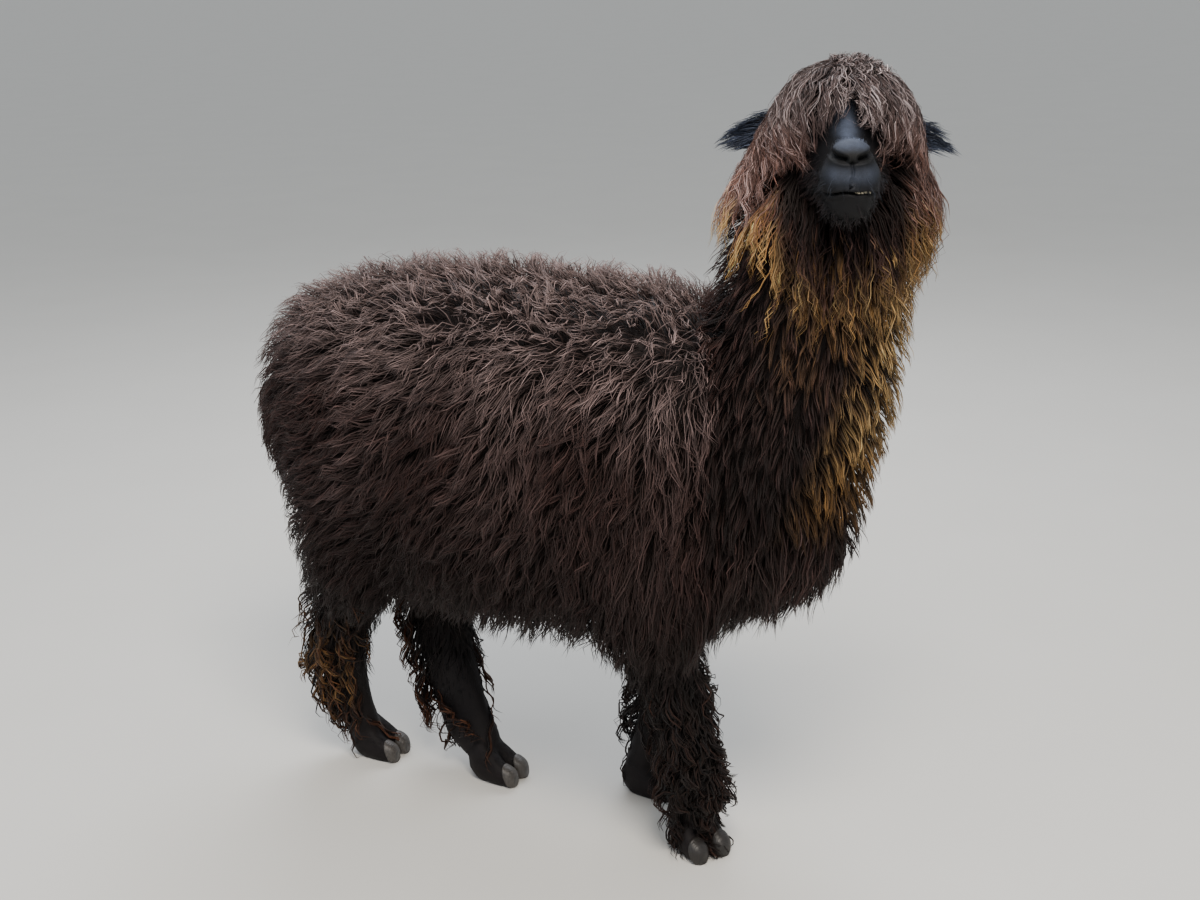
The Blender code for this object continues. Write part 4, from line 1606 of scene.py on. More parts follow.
@dataclass
class Locks:
    """The locks of one growth, as three-sided tapering tubes round their middle lines."""

    growth: Growth
    rng: Rng
    points: Array  # middle lines, (lock, step, 3)
    normals: Array  # outward directions there
    maps: Array  # the roots' places on the map
    clump: Array  # each lock's clump number

    def shorten(self, ends: Rule) -> None:
        """Shortens the locks that pass an edge: the line up to the last step within it is drawn anew.

        Args:
            ends: Gives how far points are within the edge, negative past it.
        """
        count, steps, _ = self.points.shape
        inside = ends(self.points.reshape(-1, 3)).reshape(count, steps) > 0
        last = np.where(inside.all(1), steps - 1, np.maximum(inside.argmin(1), 2))
        at = np.linspace(0, 1, steps)[None] * last[:, None]
        low = np.minimum(at.astype(int), steps - 2)
        part = (at - low)[..., None]
        rows = np.arange(count)[:, None]
        self.points = self.points[rows, low] * (1 - part) + self.points[rows, low + 1] * part

    def gather(self) -> None:
        """Draws each clump's locks together towards their mean line, more towards the tips."""
        share = np.linspace(0, 1, self.points.shape[1])[None, :, None]
        sums = np.zeros((self.clump.max() + 1, *self.points.shape[1:]))
        np.add.at(sums, self.clump, self.points)
        mean = (sums / np.bincount(self.clump)[:, None, None])[self.clump]
        pull = self.growth.gather * share**self.growth.draw
        pull = pull * self.rng.uniform(0.6, 1.15, (len(self.points), 1, 1))
        self.points = self.points + (mean - self.points) * np.clip(pull, 0, 0.95)

    def wave(self) -> None:
        """Waves the locks in step with their clump: a cosine across the lock and, by the curl's share, a
        sine out from the body, both wider towards the tips."""
        growth, clump, rng = self.growth, self.clump, self.rng
        count, clumps = len(self.points), clump.max() + 1
        share = np.linspace(0, 1, self.points.shape[1])[None]
        across = unit(np.cross(unit(np.gradient(self.points, axis=1)), self.normals))
        size = self.sizes()
        typical = np.bincount(clump, size) / np.bincount(clump) * rng.uniform(0.75, 1.3, clumps)
        phase = rng.uniform(0, 2 * math.pi, clumps)[clump][:, None]
        phase = phase + rng.normal(0, growth.loose, (count, 1))
        turns = share * typical[clump][:, None] * 2 * math.pi / growth.wave_length + phase
        swing = growth.wave * share**0.8 * rng.uniform(0.5, 1.3, clumps)[clump][:, None]
        swing = swing * rng.uniform(0.8, 1.15, (count, 1))
        self.points = self.points + across * (swing * (np.cos(turns) - np.cos(phase)))[..., None]
        self.points = self.points + self.normals * (swing * growth.curl * np.sin(turns))[..., None]

    def sizes(self) -> Array:
        """The locks' lengths."""
        return np.linalg.norm(np.diff(self.points, axis=1), axis=2).sum(1)

    def tubes(self) -> Array:
        """Carries a flattened triangle along each middle line, by a cosine across the lock and a sine out
        from the body, as wide as the taper says, down to a point at the tip.

        Returns:
            Points (lock, point, 3): three for each step but the last, and one for the tip.
        """
        count = len(self.points)
        along = unit(np.gradient(self.points, axis=1))
        across = unit(np.cross(along, self.normals))
        out = np.cross(across, along)
        taper = np.interp(np.linspace(0, 1, self.growth.rings + 1), [0, 0.25, 0.7, 1], [0.7, 1, 0.72, 0.1])
        half = (self.growth.width * self.rng.uniform(0.65, 1.25, (count, 1)) * taper)[:, :-1, None] / 2
        turn = self.rng.uniform(-0.5, 0.5, (count, 1, 1)) + np.arange(3) * 2 * math.pi / 3
        ring = self.points[:, :-1, None] + (
            across[:, :-1, None] * (np.cos(turn) * half)[..., None]
            + out[:, :-1, None] * (np.sin(turn) * half * self.growth.flat)[..., None])
        return np.concatenate([ring.reshape(count, -1, 3), self.points[:, -1:]], 1)

    def mesh(self) -> Mesh:
        """Joins the points of every lock by the same triangles, and lays its patch of the map at its root.

        Returns:
            The mesh.
        """
        vertices = self.tubes()
        corner, spot = self.pattern()
        count, size, _ = vertices.shape
        faces = (np.arange(count)[:, None, None] * size + corner[None]).reshape(-1, 3)
        places = (self.maps[:, None, None] + spot[None] * PATCH).reshape(-1, 2)
        mesh = bpy.data.meshes.new(self.growth.name)
        mesh.vertices.add(count * size)
        mesh.vertices.foreach_set("co", np.ascontiguousarray(vertices, np.float32).ravel())
        mesh.loops.add(faces.size)
        mesh.loops.foreach_set("vertex_index", faces.astype(np.int32).ravel())
        mesh.polygons.add(len(faces))
        mesh.polygons.foreach_set("loop_start", np.arange(0, faces.size, 3, dtype=np.int32))
        mesh.update(calc_edges=True)
        mesh.shade_smooth()
        mesh.uv_layers.new(name=BAKE_MAP).data.foreach_set("uv", places.astype(np.float32).ravel())
        return mesh

    def paint(self, mesh: Mesh) -> None:
        """Colours the locks from root to tip, brighter or darker by lock, by clump and by side, and
        stores for the streaks how far each point lies round and along its lock.

        Args:
            mesh: The locks' mesh.
        """
        count, rings, rng = len(self.points), self.growth.rings, self.rng
        shades = self.growth.shades(self.points, rng)
        share = np.linspace(0, 1, rings + 1)
        mix = share[None, :, None] ** shades.lateness[..., None]
        single = rng.normal(0, self.growth.mixed, (count, 1, 1))
        tint = np.exp(single + rng.normal(0, SHADE_SPREAD, self.clump.max() + 1)[self.clump][:, None, None])
        colour = (shades.root + (shades.tip - shades.root) * mix) * tint
        sides = np.exp(rng.normal(0, SHADE_SPREAD, (count, 1, 3, 1)))
        colour = np.concatenate([(colour[:, :-1, None] * sides).reshape(count, -1, 3), colour[:, -1:]], 1)
        colour = np.clip(colour.reshape(-1, 3), 0, 1)
        write_attribute(mesh, "coat_colour", "FLOAT_COLOR", with_alpha(colour))
        round_lock = np.concatenate([np.tile([0.0, 0.5, 1.0], rings), [0.5]])
        along_lock = np.concatenate([np.repeat(share[:-1], 3), [1.0]]) * self.sizes()[:, None] * 9
        strand = vectors(round_lock[None], along_lock, rng.uniform(0, 90, (count, 1)))
        write_attribute(mesh, "strand", "FLOAT_VECTOR", strand.reshape(-1, 3))

    def pattern(self) -> tuple[Array, Array]:
        """The triangles of one lock and where their corners lie within its patch of the map.

        Returns:
            Point numbers (triangle, 3) and places (triangle, 3, 2) from -0.5 to 0.5.
        """
        rings = self.growth.rings
        k, j = (x.ravel() for x in np.meshgrid(np.arange(rings - 1), np.arange(3), indexing="ij"))
        low, high, after = k * 3, k * 3 + 3, (j + 1) % 3
        u, u2 = j / 3 - 0.5, (j + 1) / 3 - 0.5
        v, v2 = k / rings - 0.45, (k + 1) / rings - 0.45
        first = np.stack([low + j, high + j, high + after], 1), np.stack([u, v, u, v2, u2, v2], 1)
        second = np.stack([low + j, high + after, low + after], 1), np.stack([u, v, u2, v2, u2, v], 1)
        j = np.arange(3)
        last = 3 * (rings - 1)
        top = 1 - 1 / rings - 0.45 + 0 * j
        tip = np.stack([last + j, 0 * j + last + 3, last + (j + 1) % 3], 1), np.stack(
            [j / 3 - 0.5, top, (j + 0.5) / 3 - 0.5, 0 * j + 0.55, (j + 1) / 3 - 0.5, top], 1)
        base = np.array([[0, 1, 2]]), np.array([[-0.5, -0.46, 0.5, -0.46, 0.0, -0.5]])
        parts = (first, second, tip, base)
        return np.vstack([a for a, _ in parts]), np.vstack([b for _, b in parts]).reshape(-1, 3, 2)


@dataclass
class Coat:
    """The whole coat, whose locks grow from the skin and end at the outline."""

    outline: Union
    ground: Ground
    finish: Material
    short_finish: Material

    def sprout(self, growth: Growth) -> Locks:
        """Grows the middle lines of locks: each step goes along the lie of the coat, made level with the
        outline, and then up or down to the height that the lock should have there, which rises from the
        root's depth to the outline as one less a power of what is left of the lock.

        Args:
            growth: The area's locks.

        Returns:
            The locks.
        """
        rng = np.random.default_rng(growth.seed)
        roots, facing, maps = self.ground.sow(growth.area(self.ground), growth.count, rng)
        uneven = drift(roots, growth.clump * 5, growth.seed) * growth.clump * 0.5
        clump = gathered(roots + uneven, growth.clump, growth.seed)
        clumps = clump.max() + 1
        length = rng.uniform(*growth.length, len(roots))
        length = length * rng.uniform(1 - growth.vary, 1 + growth.vary, clumps)[clump]
        pace = (length / growth.rings)[:, None]
        reach = rng.uniform(0.74 - growth.ragged, 1.06 + growth.ragged, clumps)[clump] * growth.stand
        reach = rng.uniform(0.70, 1.0, len(roots)) * reach
        here = roots - facing * 0.0015
        depth, out = self.outline.sense(here)
        if growth.free:
            out = facing
        points, normals = [here], [out]
        turn = rng.normal(0, growth.swirl, (clumps, 3))[clump]
        for step in range(1, growth.rings + 1):
            share = step / growth.rings
            way = growth.lie(here) + turn
            if growth.free:
                here = here + unit(unit(way) + facing * growth.stand * (1 - share)) * pace
            else:
                level = unit(way - out * (way * out).sum(1, keepdims=True))
                loose = growth.hang * ease(-out[:, 2], 0.05, 0.65)[:, None] * share
                here = here + unit(level * (1 - loose) + unit(way) * loose) * pace
                away, out = self.outline.sense(here)
                rise = (1 - (1 - share) ** growth.steep) * reach
                lift = np.clip(depth * (1 - rise) + growth.proud * share**2 - away, -0.030, 0.030)
                here = here + out * (lift * (1 - 0.85 * loose[:, 0]))[:, None]
            points.append(here)
            normals.append(out)
        return Locks(growth, rng, np.stack(points, 1), np.stack(normals, 1), maps, clump)

    def grow(self, growth: Growth) -> Piece:
        """Makes one piece of the coat.

        Args:
            growth: The area's locks.

        Returns:
            The piece.
        """
        locks = self.sprout(growth)
        if growth.ends:
            locks.shorten(growth.ends)
        locks.gather()
        if growth.wave > 0:
            locks.wave()
        locks.points[..., 2] = np.maximum(locks.points[..., 2], 0.003)
        mesh = locks.mesh()
        locks.paint(mesh)
        mesh.materials.append(self.finish if growth.slot is Slot.FLEECE else self.short_finish)
        piece = bpy.data.objects.new(growth.name, mesh)
        bpy.context.scene.collection.objects.link(piece)
        return piece


@dataclass
class Styles:
    """Where each kind of lock grows, how it looks and how long it is. The methods that give areas take
    the ground and say how dense the coat is on each of its triangles."""

    marks: Markings
    lie: Lie = field(default_factory=Lie)
    trunk_masses: tuple[str, ...] = ("trunk", "haunch", "shoulder")
    leg_masses: tuple[str, ...] = tuple(leg.name for leg in LEGS)

    # -- where
    def flesh(self, ground: Ground) -> Array:
        """The trunk's own area above the belly."""
        return ground.of(*self.trunk_masses) * ease(-ground.facing[:, 2], 0.75, 0.45)

    def back(self, ground: Ground) -> Array:
        """The top of the trunk."""
        return self.flesh(ground) * ease(ground.centre[:, 2], 0.86, 0.93)

    def flank(self, ground: Ground, side: int) -> Array:
        """One side of the trunk ahead of the rump.

        Args:
            ground: The skin's triangles.
            side: 1 for the left, -1 for the right.

        Returns:
            Densities.
        """
        x, y, z = ground.centre.T
        near = 1 - 0.35 * ease(y, -0.30, -0.44)
        return self.flesh(ground) * (x * side > 0) * ease(z, 0.95, 0.88) * ease(y, 0.40, 0.34) * near

    def rump(self, ground: Ground) -> Array:
        """The hind end of the trunk."""
        _, y, z = ground.centre.T
        return self.flesh(ground) * ease(z, 0.97, 0.90) * ease(y, 0.32, 0.38)

    def underside(self, ground: Ground) -> Array:
        """Belly, chest and the folds above the legs."""
        low = ease(ground.centre[:, 2], 0.62, 0.52)
        return ground.of(*self.trunk_masses, "neck") * ease(-ground.facing[:, 2], 0.15, 0.55) * low

    def neck(self, ground: Ground) -> Array:
        """The neck down to the chest, and up its back to the head."""
        front = 1 + 0.35 * ease(-ground.facing[:, 1], -0.2, 0.5)
        return (ground.of("neck") + ground.of("throat") * ease(ground.centre[:, 2], 1.19, 1.13)) * front

    def tail(self, ground: Ground) -> Array:
        """All of the tail."""
        return ground.of("tail")

    def legs_top(self, ground: Ground) -> Array:
        """The legs above knee and hock."""
        return ground.of(*self.leg_masses) * ease(ground.centre[:, 2], 0.22, 0.27)

    def shanks(self, ground: Ground) -> Array:
        """The legs below, short-haired in front."""
        return ground.of(*self.leg_masses) * ease(ground.centre[:, 2], 0.30, 0.25)

    def curls(self, ground: Ground) -> Array:
        """The rear and outer sides of the legs, and all of the near foreleg, where curls hang.

        Args:
            ground: The skin's triangles.

        Returns:
            Densities.
        """
        x, _, z = ground.centre.T
        outer = np.maximum(ground.facing[:, 1], 0.65 * np.sign(x) * ground.facing[:, 0])
        rear = ground.of(*self.leg_masses) * ease(outer, 0.24, 0.50)
        near = 1.5 * ground.of("fore_right") * ease(z, 0.035, 0.055)
        return np.maximum(rear * ease(z, 0.095, 0.135), near) * ease(z, 0.43, 0.33)

    def chest(self, ground: Ground) -> Array:
        """The front of the chest and its fold over the forelegs, where long wisps hang.

        Args:
            ground: The skin's triangles.

        Returns:
            Densities.
        """
        _, y, z = ground.centre.T
        front = ease(y + 0.25 * ease(z, 0.50, 0.44), -0.20, -0.36)
        return ground.of(*self.trunk_masses, "neck") * front * ease(z, 0.72, 0.62) * ease(z, 0.40, 0.43)

    def feet(self, ground: Ground) -> Array:
        """The upper sides of the toes."""
        toes = ground.of(*(f"{leg.name}_toe" for leg in LEGS))
        return toes * ease(ground.facing[:, 2], -0.1, 0.3) * ease(ground.centre[:, 2], 0.012, 0.022)

    def fringe(self, ground: Ground) -> Array:
        """The front half of the top of the head, down to the brows and ears."""
        _, y, z = ground.level.T
        return ground.of("skull", "crown", "brow") * ease(z, 0.005, 0.030) * ease(y, 0.045, 0.010)

    def crown_back(self, ground: Ground) -> Array:
        """The hind half of the top of the head."""
        _, y, z = ground.level.T
        return ground.of("skull", "crown") * ease(z, 0.000, 0.030) * ease(y, 0.010, 0.045)

    def topknot(self, ground: Ground) -> Array:
        """The very top of the head, where short curls stand up."""
        x, _, z = ground.level.T
        return ground.of("skull", "crown") * ease(z, 0.080, 0.098) * ease(np.abs(x - 0.030), 0.050, 0.025)

    def beard(self, ground: Ground) -> Array:
        """The chin's and jaw's underside and the sides of the face behind the lips.

        Args:
            ground: The skin's triangles.

        Returns:
            Densities.
        """
        _, y, z = ground.head.T
        under = ease(z, -0.020, -0.036) * ground.of("chin", "muzzle", "jowl")
        beside = ease(y, -0.178, -0.150) * ease(z, 0.030, 0.0) * ground.of("muzzle", "jowl")
        return np.maximum(under, beside) * ease(y, -0.02, -0.05)

    def whiskers(self, ground: Ground) -> Array:
        """The lips' sides and the chin."""
        x, _, z = ground.head.T
        return ground.of("lip", "chin") * ease(np.abs(x), 0.012, 0.030) * ease(z, 0.020, 0.0)

    def cheeks(self, ground: Ground) -> Array:
        """The sides and back of the head, and the throat.

        Args:
            ground: The skin's triangles.

        Returns:
            Densities.
        """
        _, y, z = ground.level.T
        sides = ground.of("skull", "crown", "jowl") * ease(z, 0.030, 0.005) * ease(y, -0.085, -0.055)
        return sides * 1.6 + ground.of("throat") * ease(ground.centre[:, 2], 1.120, 1.170)

    def ears(self, ground: Ground) -> Array:
        """Both sides of both ears, most on their outer half."""
        return ground.of("ear") * (0.35 + ease(np.abs(ground.head[:, 0]), 0.08, 0.125))

    def face(self, ground: Ground) -> Array:
        """The muzzle apart from the bare nose, lips' edges and lids.

        Args:
            ground: The skin's triangles.

        Returns:
            Densities.
        """
        x, y, z = ground.head.T
        haired = 1 - bell(np.hypot(x / 1.5, z - 0.038), 0.020) * ease(y, -0.195, -0.212)
        masses = ground.of("muzzle", "lip", "nose", "chin", "jowl", "brow")
        return masses * haired * ease(y, -0.03, -0.06)

    def above_arch(self, points: Array) -> Array:
        """How far points lie above the fringe's lower edge: an arch over the nose that comes down beside
        the muzzle and is lost in the cheeks.

        Args:
            points: Row-frame points.

        Returns:
            Heights, negative below the edge.
        """
        x, y, z = LEVEL.into(points).T
        across = [-0.135, -0.122, -0.108, -0.078, -0.054, -0.039, -0.029, -0.010, 0.005, 0.024, 0.039,
                  0.054, 0.073, 0.093, 0.108, 0.125]
        edge = [-0.170, -0.120, -0.036, -0.026, -0.008, 0.002, 0.030, 0.042, 0.048, 0.038, 0.018,
                -0.004, -0.012, -0.008, -0.036, -0.150]
        ragged = drift(points, 0.030, 23)[:, 0] * 0.018 + drift(points, 0.011, 25)[:, 0] * 0.036
        in_front = ease(y, -0.02, -0.06) > 0.02
        return np.where(in_front, z - np.interp(x, across, edge) - ragged, 0.01)

    # -- what
    def growths(self) -> list[Growth]:
        """Every piece of the coat.

        Returns:
            The growths, in the order in which they are made.
        """
        long, short, lie, marks = Slot.FLEECE, Slot.SHORT_HAIR, self.lie, self.marks
        trunk = dict(rings=4, lie=lie.trunk, shades=marks.fleece, hang=0.75, mixed=0.24, gather=0.88,
                     wave=0.0065, curl=0.7, swirl=0.26, vary=0.3, ragged=0.08, steep=2.6, proud=0.009)
        back = {**trunk, "gather": 0.85, "wave": 0.0060, "curl": 0.9, "swirl": 0.60, "ragged": 0.10}
        wisps = dict(lie=lie.hanging, shades=marks.fleece, hang=0.95, swirl=0.14)
        return [
            Growth("back_fleece", long, 6200, (0.032, 0.058), 0.0021, seed=101, area=self.back,
                   clump=0.014, wave_length=0.036, **back),
            Growth("right_flank_fleece", long, 7600, (0.060, 0.110), 0.0024, seed=102,
                   area=partial(self.flank, side=-1), clump=0.017, wave_length=0.060, **trunk),
            Growth("left_flank_fleece", long, 4100, (0.065, 0.115), 0.0028, seed=103,
                   area=partial(self.flank, side=1), clump=0.019, wave_length=0.065, **trunk),
            Growth("rump_fleece", long, 4400, (0.060, 0.105), 0.0025, seed=104, area=self.rump,
                   clump=0.018, wave_length=0.060, **{**trunk, "proud": 0.008}),
            Growth("belly_fringe", long, 3000, (0.050, 0.110), 0.0024, 4, 105, self.underside,
                   gather=0.95, draw=0.8, clump=0.019, wave=0.0040, wave_length=0.080, vary=0.45,
                   ragged=0.32, proud=0.004, mixed=0.24, **wisps),
            Growth("chest_fringe", long, 2800, (0.080, 0.145), 0.0026, 5, 116, self.chest,
                   clump=0.017, gather=0.93, wave=0.0050, wave_length=0.090, vary=0.35, steep=3.5,
                   ragged=0.15, stand=1.04, **wisps),
            Growth("neck_fleece", long, 7300, (0.042, 0.066), 0.0026, 4, 106, self.neck, lie.neck,
                   marks.neck, clump=0.0165, gather=0.95, draw=0.9, wave=0.0022, wave_length=0.045,
                   curl=0.6, swirl=0.18, vary=0.30, loose=0.3, ragged=0.14, steep=2.4, proud=0.010),
            Growth("tail_fleece", long, 800, (0.060, 0.100), 0.0028, 4, 107, self.tail, lie.neck,
                   marks.fleece, clump=0.020, gather=0.8, wave=0.005, wave_length=0.08, swirl=0.15),
            Growth("leg_wool", long, 1800, (0.050, 0.080), 0.0030, 4, 108, self.legs_top, lie.leg,
                   marks.legs, clump=0.018, gather=0.85, wave=0.006, wave_length=0.060, curl=0.9,
                   swirl=0.25, vary=0.3),
            Growth("leg_curls", long, 1800, (0.08, 0.16), 0.0049, 11, 109, self.curls, lie.leg,
                   marks.curls, clump=0.031, gather=0.93, draw=0.50, wave=0.0118, wave_length=0.052,
                   curl=0.9, swirl=0.34, vary=0.3, loose=0.10, ragged=0.12, steep=3.2, stand=1.05,
                   proud=0.012, flat=0.8, mixed=0.25),
            Growth("shank_hair", short, 2600, (0.014, 0.024), 0.0016, 2, 110, self.shanks, lie.leg,
                   marks.legs, stand=0.16, proud=0.0),
            Growth("foot_hair", short, 1200, (0.008, 0.014), 0.0012, 2, 111, self.feet, lie.foot,
                   marks.legs, stand=0.5, proud=0.001),
            Growth("fringe", long, 2150, (0.15, 0.22), 0.0018, 12, 112, self.fringe, lie.crown,
                   marks.fringe, clump=0.0120, gather=0.94, draw=0.60, wave=0.0082, wave_length=0.054,
                   curl=0.7, swirl=0.17, loose=0.14, ragged=0.06, steep=9.0, mixed=0.28, proud=0.008,
                   ends=self.above_arch),
            Growth("crown_back", long, 1050, (0.13, 0.20), 0.0025, 6, 117, self.crown_back, lie.crown,
                   marks.fringe, clump=0.013, gather=0.85, wave=0.0050, wave_length=0.050, curl=0.5,
                   swirl=0.14, steep=9.0, mixed=0.3),
            Growth("topknot_curls", long, 420, (0.030, 0.055), 0.0020, 8, 118, self.topknot,
                   lie.topknot, marks.fringe, clump=0.012, gather=0.8, wave=0.0060, wave_length=0.026,
                   curl=1.0, swirl=0.4, steep=9.0, proud=0.008),
            Growth("cheeks_and_bib", long, 3000, (0.11, 0.20), 0.0023, 10, 113, self.cheeks, lie.cheek,
                   marks.cheeks, clump=0.0125, gather=0.90, draw=1.0, wave=0.0068, wave_length=0.046,
                   curl=0.7, swirl=0.19, vary=0.28, loose=0.22, ragged=0.10, steep=3.4, proud=0.010),
            Growth("ear_wisps", long, 1700, (0.026, 0.062), 0.0011, 4, 114, self.ears, lie.ear,
                   marks.ears, clump=0.008, gather=0.5, wave=0.001, stand=0.20, flat=0.8, free=True),
            Growth("face_hair", short, 4600, (0.006, 0.011), 0.0009, 2, 115, self.face, lie.face,
                   marks.face, stand=0.35, free=True),
            Growth("chin_beard", short, 1300, (0.012, 0.030), 0.0012, 4, 119, self.beard, lie.beard,
                   marks.beard, clump=0.008, gather=0.4, stand=0.50, free=True),
            Growth("lip_whiskers", short, 160, (0.014, 0.030), 0.0005, 4, 120, self.whiskers, lie.beard,
                   marks.face, gather=0.0, swirl=0.3, stand=0.9, free=True),
        ]


# ---- nails, eyes and teeth
@dataclass
class Nail:
    """One nail: the toe's own section ahead of a leaning root, a little proud of it."""

    leg: Leg
    side: int
    proud: float = 0.0010
    length: float = 0.06  # which the growth rings are spaced along
    rows: int = 26
    sides: int = 28

    def make(self, finish: Material) -> Piece:
        """Carries the toe's super-ellipse from the root's leaning plane to the tip, with shallow growth
        rings as a sine of the way along, and closes both ends.

        Args:
            finish: The horn.

        Returns:
            The piece.
        """
        toe = self.leg.toe(self.side)
        table = toe.table()
        y_tip = table[0, 1]
        turn = full_turn(self.sides)[None]
        t = np.linspace(0, 1, self.rows)[:, None] ** 0.8
        c, s = np.cos(turn), np.sin(turn)
        root = NAIL_ROOT[0] + 0.002 * c
        y = root + (y_tip + 0.0005 - root) * t
        for _ in range(2):
            z = np.interp(y, table[:, 1], table[:, 2])
            high = np.interp(y, table[:, 1], table[:, 4])
            level = z + signed_power(s, 2 / toe.power) * high
            start = NAIL_ROOT[0] + NAIL_LEAN * (level - NAIL_ROOT[1])
            y = start + (y_tip + 0.0005 - start) * t
        x = np.interp(y, table[:, 1], table[:, 0])
        swell = self.proud * np.sin(np.clip(t * 12, 0, math.pi / 2)) * (1 + 0.16 * np.sin(t * 44 + 0.6 * c))
        wide = np.interp(y, table[:, 1], table[:, 3]) + swell
        high = np.interp(y, table[:, 1], table[:, 4]) + swell
        x = x + signed_power(c, 2 / toe.power) * wide
        z = np.interp(y, table[:, 1], table[:, 2]) + signed_power(s, 2 / toe.power) * high
        points = toe.place.out(np.stack([x, y, np.maximum(z, FLOOR_CLEARANCE)], -1).reshape(-1, 3))
        name = f"{self.leg.name}_nail_{'left' if self.side > 0 else 'right'}"
        piece = mesh_object(f"{name}_horn", points, wrapped_faces(self.rows, self.sides), finish)
        outward(piece)
        along = vectors(t * self.length, c * 0.002, 0)
        write_attribute(piece.data, "strand", "FLOAT_VECTOR", along.reshape(-1, 3))
        hand_over(piece, Slot.NAIL, name)
        return piece


@dataclass
class Eye:
    """An eyeball with a bulging cornea and a level slit of a pupil."""

    side: int
    pupil: Pair = (0.0062, 0.0030)  # half its width and half its height
    rows: int = 24
    sides: int = 36

    def make(self, skin: Skin, finish: Material) -> Piece:
        """A ball round the gaze, whose radius grows near the gaze by a bell, for the cornea.

        Args:
            skin: Knows where the eye looks.
            finish: The wet eye.

        Returns:
            The piece.
        """
        middle, gaze, across, above = skin.eye_axes(self.side)
        polar = np.linspace(0.02, math.pi - 0.02, self.rows)[:, None]
        turn = full_turn(self.sides)[None]
        radius = EYE_RADIUS - 0.0008 + 0.0009 * bell(polar, 0.55)
        ring = np.sin(polar)
        a, b, c = (radius * x for x in (ring * np.cos(turn), ring * np.sin(turn), np.cos(polar) + 0 * turn))
        local = middle + a[..., None] * across + b[..., None] * above + c[..., None] * gaze
        name = "eye_left" if self.side > 0 else "eye_right"
        faces = wrapped_faces(self.rows, self.sides)
        piece = mesh_object(f"{name}_ball", HEAD.out(local.reshape(-1, 3)), faces, finish)
        outward(piece)
        at = np.stack([a / self.pupil[0], b / self.pupil[1], np.maximum(-c, 0) * 1000], -1)
        write_attribute(piece.data, "strand", "FLOAT_VECTOR", at.reshape(-1, 3))
        hand_over(piece, Slot.EYE, name)
        return piece


@dataclass
class Teeth:
    """The lower incisors, which show on the left of the mouth."""

    count: int = 5
    first: float = 0.0045
    step: float = 0.0052
    size: Triple = (0.0027, 0.0020, 0.0036)
    rows: int = 9
    sides: int = 14

    def make(self, finish: Material) -> Piece:
        """Small rounded blocks along the lower lip's arc: super-ellipsoids of power three.

        Args:
            finish: Enamel.

        Returns:
            The piece.
        """
        ball = globe(np.linspace(-1.45, 1.45, self.rows), full_turn(self.sides))
        ball /= (np.abs(ball) ** 3).sum(1, keepdims=True) ** (1 / 3)
        x = self.first + self.step * np.arange(self.count)
        low = -0.0135 - MOUTH_BEND * x**2 - MOUTH_SWAY * np.sin(x * MOUTH_SWAYS)
        middles = np.stack([x, -0.2185 + 9.0 * x**2, low], 1)
        rng = np.random.default_rng(41)
        scale = np.array(self.size) * rng.uniform(0.70, 1.05, (self.count, 3))
        points = (ball[None] * scale[:, None] + middles[:, None]).reshape(-1, 3)
        one = wrapped_faces(self.rows, self.sides)
        faces = [tuple(v + k * len(ball) for v in face) for k in range(self.count) for face in one]
        piece = mesh_object("lower_incisors", HEAD.out(points), faces, finish)
        outward(piece)
        hand_over(piece, None)
        return piece


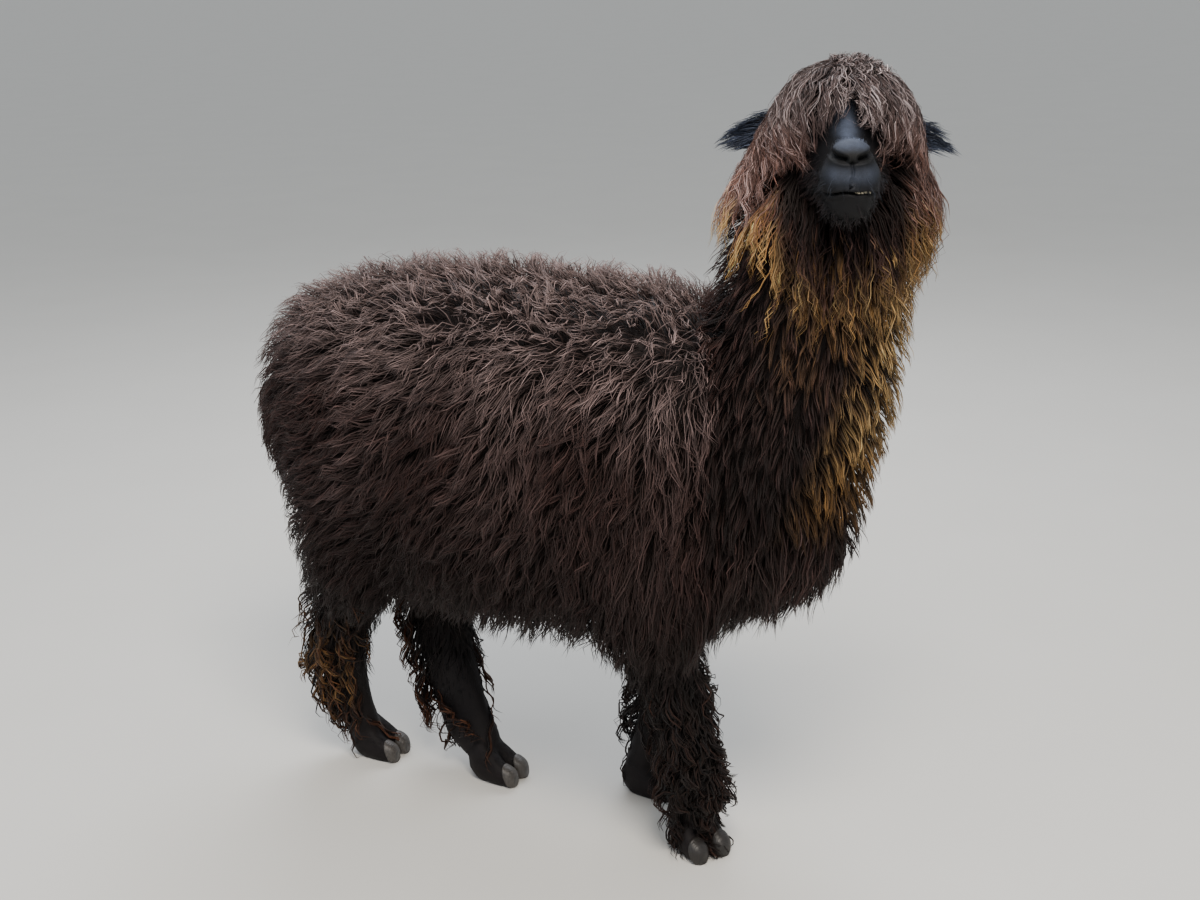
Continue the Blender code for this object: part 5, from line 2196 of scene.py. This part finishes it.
# ---- studio
@dataclass
class Studio:
    """A pale floor, soft light and the camera."""

    eye: Triple = (-2.38810, -1.51994, 1.55)
    azimuth: float = -59.0
    pitch: float = 16.8
    roll: float = 1.3
    lens: float = 49.65
    floor: float = 160.0

    def camera(self) -> None:
        """Stands the camera: its heading, then its downward pitch, then its roll."""
        heading, pitch, roll = (math.radians(x) for x in (self.azimuth, self.pitch, self.roll))
        right = np.array([math.cos(heading), math.sin(heading), 0.0])
        away = np.array([-math.sin(heading), math.cos(heading), 0.0])
        ahead = math.cos(pitch) * away - math.sin(pitch) * UP
        down = -(math.cos(pitch) * UP + math.sin(pitch) * away)
        c, s = math.cos(roll), math.sin(roll)
        data = bpy.data.cameras.new("camera")
        data.lens, data.sensor_width, data.clip_end = self.lens, 36.0, 400.0
        camera = bpy.data.objects.new("camera", data)
        bpy.context.scene.collection.objects.link(camera)
        self.stand(camera, c * right + s * down, s * right - c * down, -ahead, self.eye)
        bpy.context.scene.camera = camera

    def stand(self, thing: Piece, *columns: Sequence[float]) -> None:
        """Turns and places an object.

        Args:
            thing: A camera or lamp.
            columns: Where its X, Y and Z point, and where it stands.
        """
        matrix = np.eye(4)
        matrix[:3] = np.column_stack(columns)
        thing.matrix_world = Matrix(matrix.tolist())

    def light(self, name: str, place: Sequence[float], aim: Sequence[float], size: float, power: float,
              colour: str) -> None:
        """One soft square light.

        Args:
            name: Its name.
            place: Where it hangs.
            aim: What it faces.
            size: Its side in metres.
            power: Watts.
            colour: Its tint.
        """
        data = bpy.data.lights.new(name, "AREA")
        data.size, data.energy, data.color = size, power, tuple(linear(colour))
        lamp = bpy.data.objects.new(name, data)
        bpy.context.scene.collection.objects.link(lamp)
        back = unit(np.array(place, float) - np.array(aim, float))
        right = unit(np.cross(UP, back))
        self.stand(lamp, right, np.cross(back, right), back, place)

    def build(self, ground: Material) -> None:
        """Sets up floor, lights, world and camera.

        Args:
            ground: The floor's finish.
        """
        half = self.floor / 2
        square = np.array([(-half, -half, 0), (half, -half, 0), (half, half, 0), (-half, half, 0)], float)
        mesh_object("floor", square, [(0, 1, 2, 3)], ground)
        self.light("key", (-2.2, -1.9, 4.2), (0, 0, 0.7), 1.8, 265, "#fff6ea")
        self.light("fill", (-3.4, 2.2, 2.6), (0, 0.1, 0.7), 3.0, 30, "#eef4ff")
        self.light("rim", (2.2, 1.2, 3.8), (0, 0, 0.9), 2.4, 120, "#f4f8ff")
        world = bpy.data.worlds.new("studio light")
        world.use_nodes = True
        world.node_tree.nodes["Background"].inputs[0].default_value = opaque("#e8edf2")
        world.node_tree.nodes["Background"].inputs[1].default_value = 0.75
        bpy.context.scene.world = world
        self.camera()


def main() -> None:
    """Builds the studio and the animal, and reports every piece."""
    logging.basicConfig(level=logging.INFO, format="%(message)s")
    # Matt, pale and almost even, so that the dark outline reads against it.
    paint = MottledFinish("pale painted floor", 0.8, 0.3, dark="#cfcdc8", pale="#d5d3ce", mottle=0.4)
    Studio().build(paint.build())
    marks, build = Markings(), Build()
    # Matt black with a fine grain, and only a dull shine: seen on face and feet.
    hide = SkinFinish("short dense hair over dark skin", 0.64, 0.20).build()
    # Dull, warm and streaked, with a faint rosy sheen along its edges: most of what is seen.
    fleece = FleeceFinish("unshorn alpaca fleece", 0.55, 0.16, 0.05, "#c9b8b0").build()
    # Flat hair that catches more light, and bluer: it makes the face's bridge glint.
    short = FleeceFinish("short alpaca hair", 0.52, 0.22, 0.05, "#aab4c4").build()
    # Satin dark grey, banded: the hind nails. The forenails are of the same horn, nearly black.
    horn = NailFinish("grey nail horn", 0.40, 0.45).build()
    dark_horn = NailFinish("dark nail horn", 0.40, 0.45, dark="#100f0e", pale="#2b2725").build()
    skin = Skin(build)
    piece, ground = skin.make(hide, marks)
    limbs = [f"{leg.name}_{part}" for leg in LEGS for part in ("upper_leg", "lower_leg", "foot")]
    trunk = ("head", "lower_jaw", "ear_left", "ear_right", "neck", "trunk", "tail")
    hand_over(piece, Slot.SHORT_HAIR, *trunk, *limbs)
    for leg in LEGS:
        for side in (-1, 1):
            Nail(leg, side).make(dark_horn if leg.name.startswith("fore") else horn)
    # Nearly black and mirror-wet.
    wet = EyeFinish("wet dark eye", 0.08, 0.5, coat=1.0).build()
    for side in (-1, 1):
        Eye(side).make(skin, wet)
    # Ivory that is brown in patches, and glossy.
    Teeth().make(MottledFinish("tooth enamel, stained", 0.3, 0.5, dark="#b3a58a", pale="#d6ccb4").build())
    coat = Coat(build.outline(), ground, fleece, short)
    for growth in Styles(marks).growths():
        hand_over(coat.grow(growth), growth.slot)


if __name__ == "__main__":
    main()
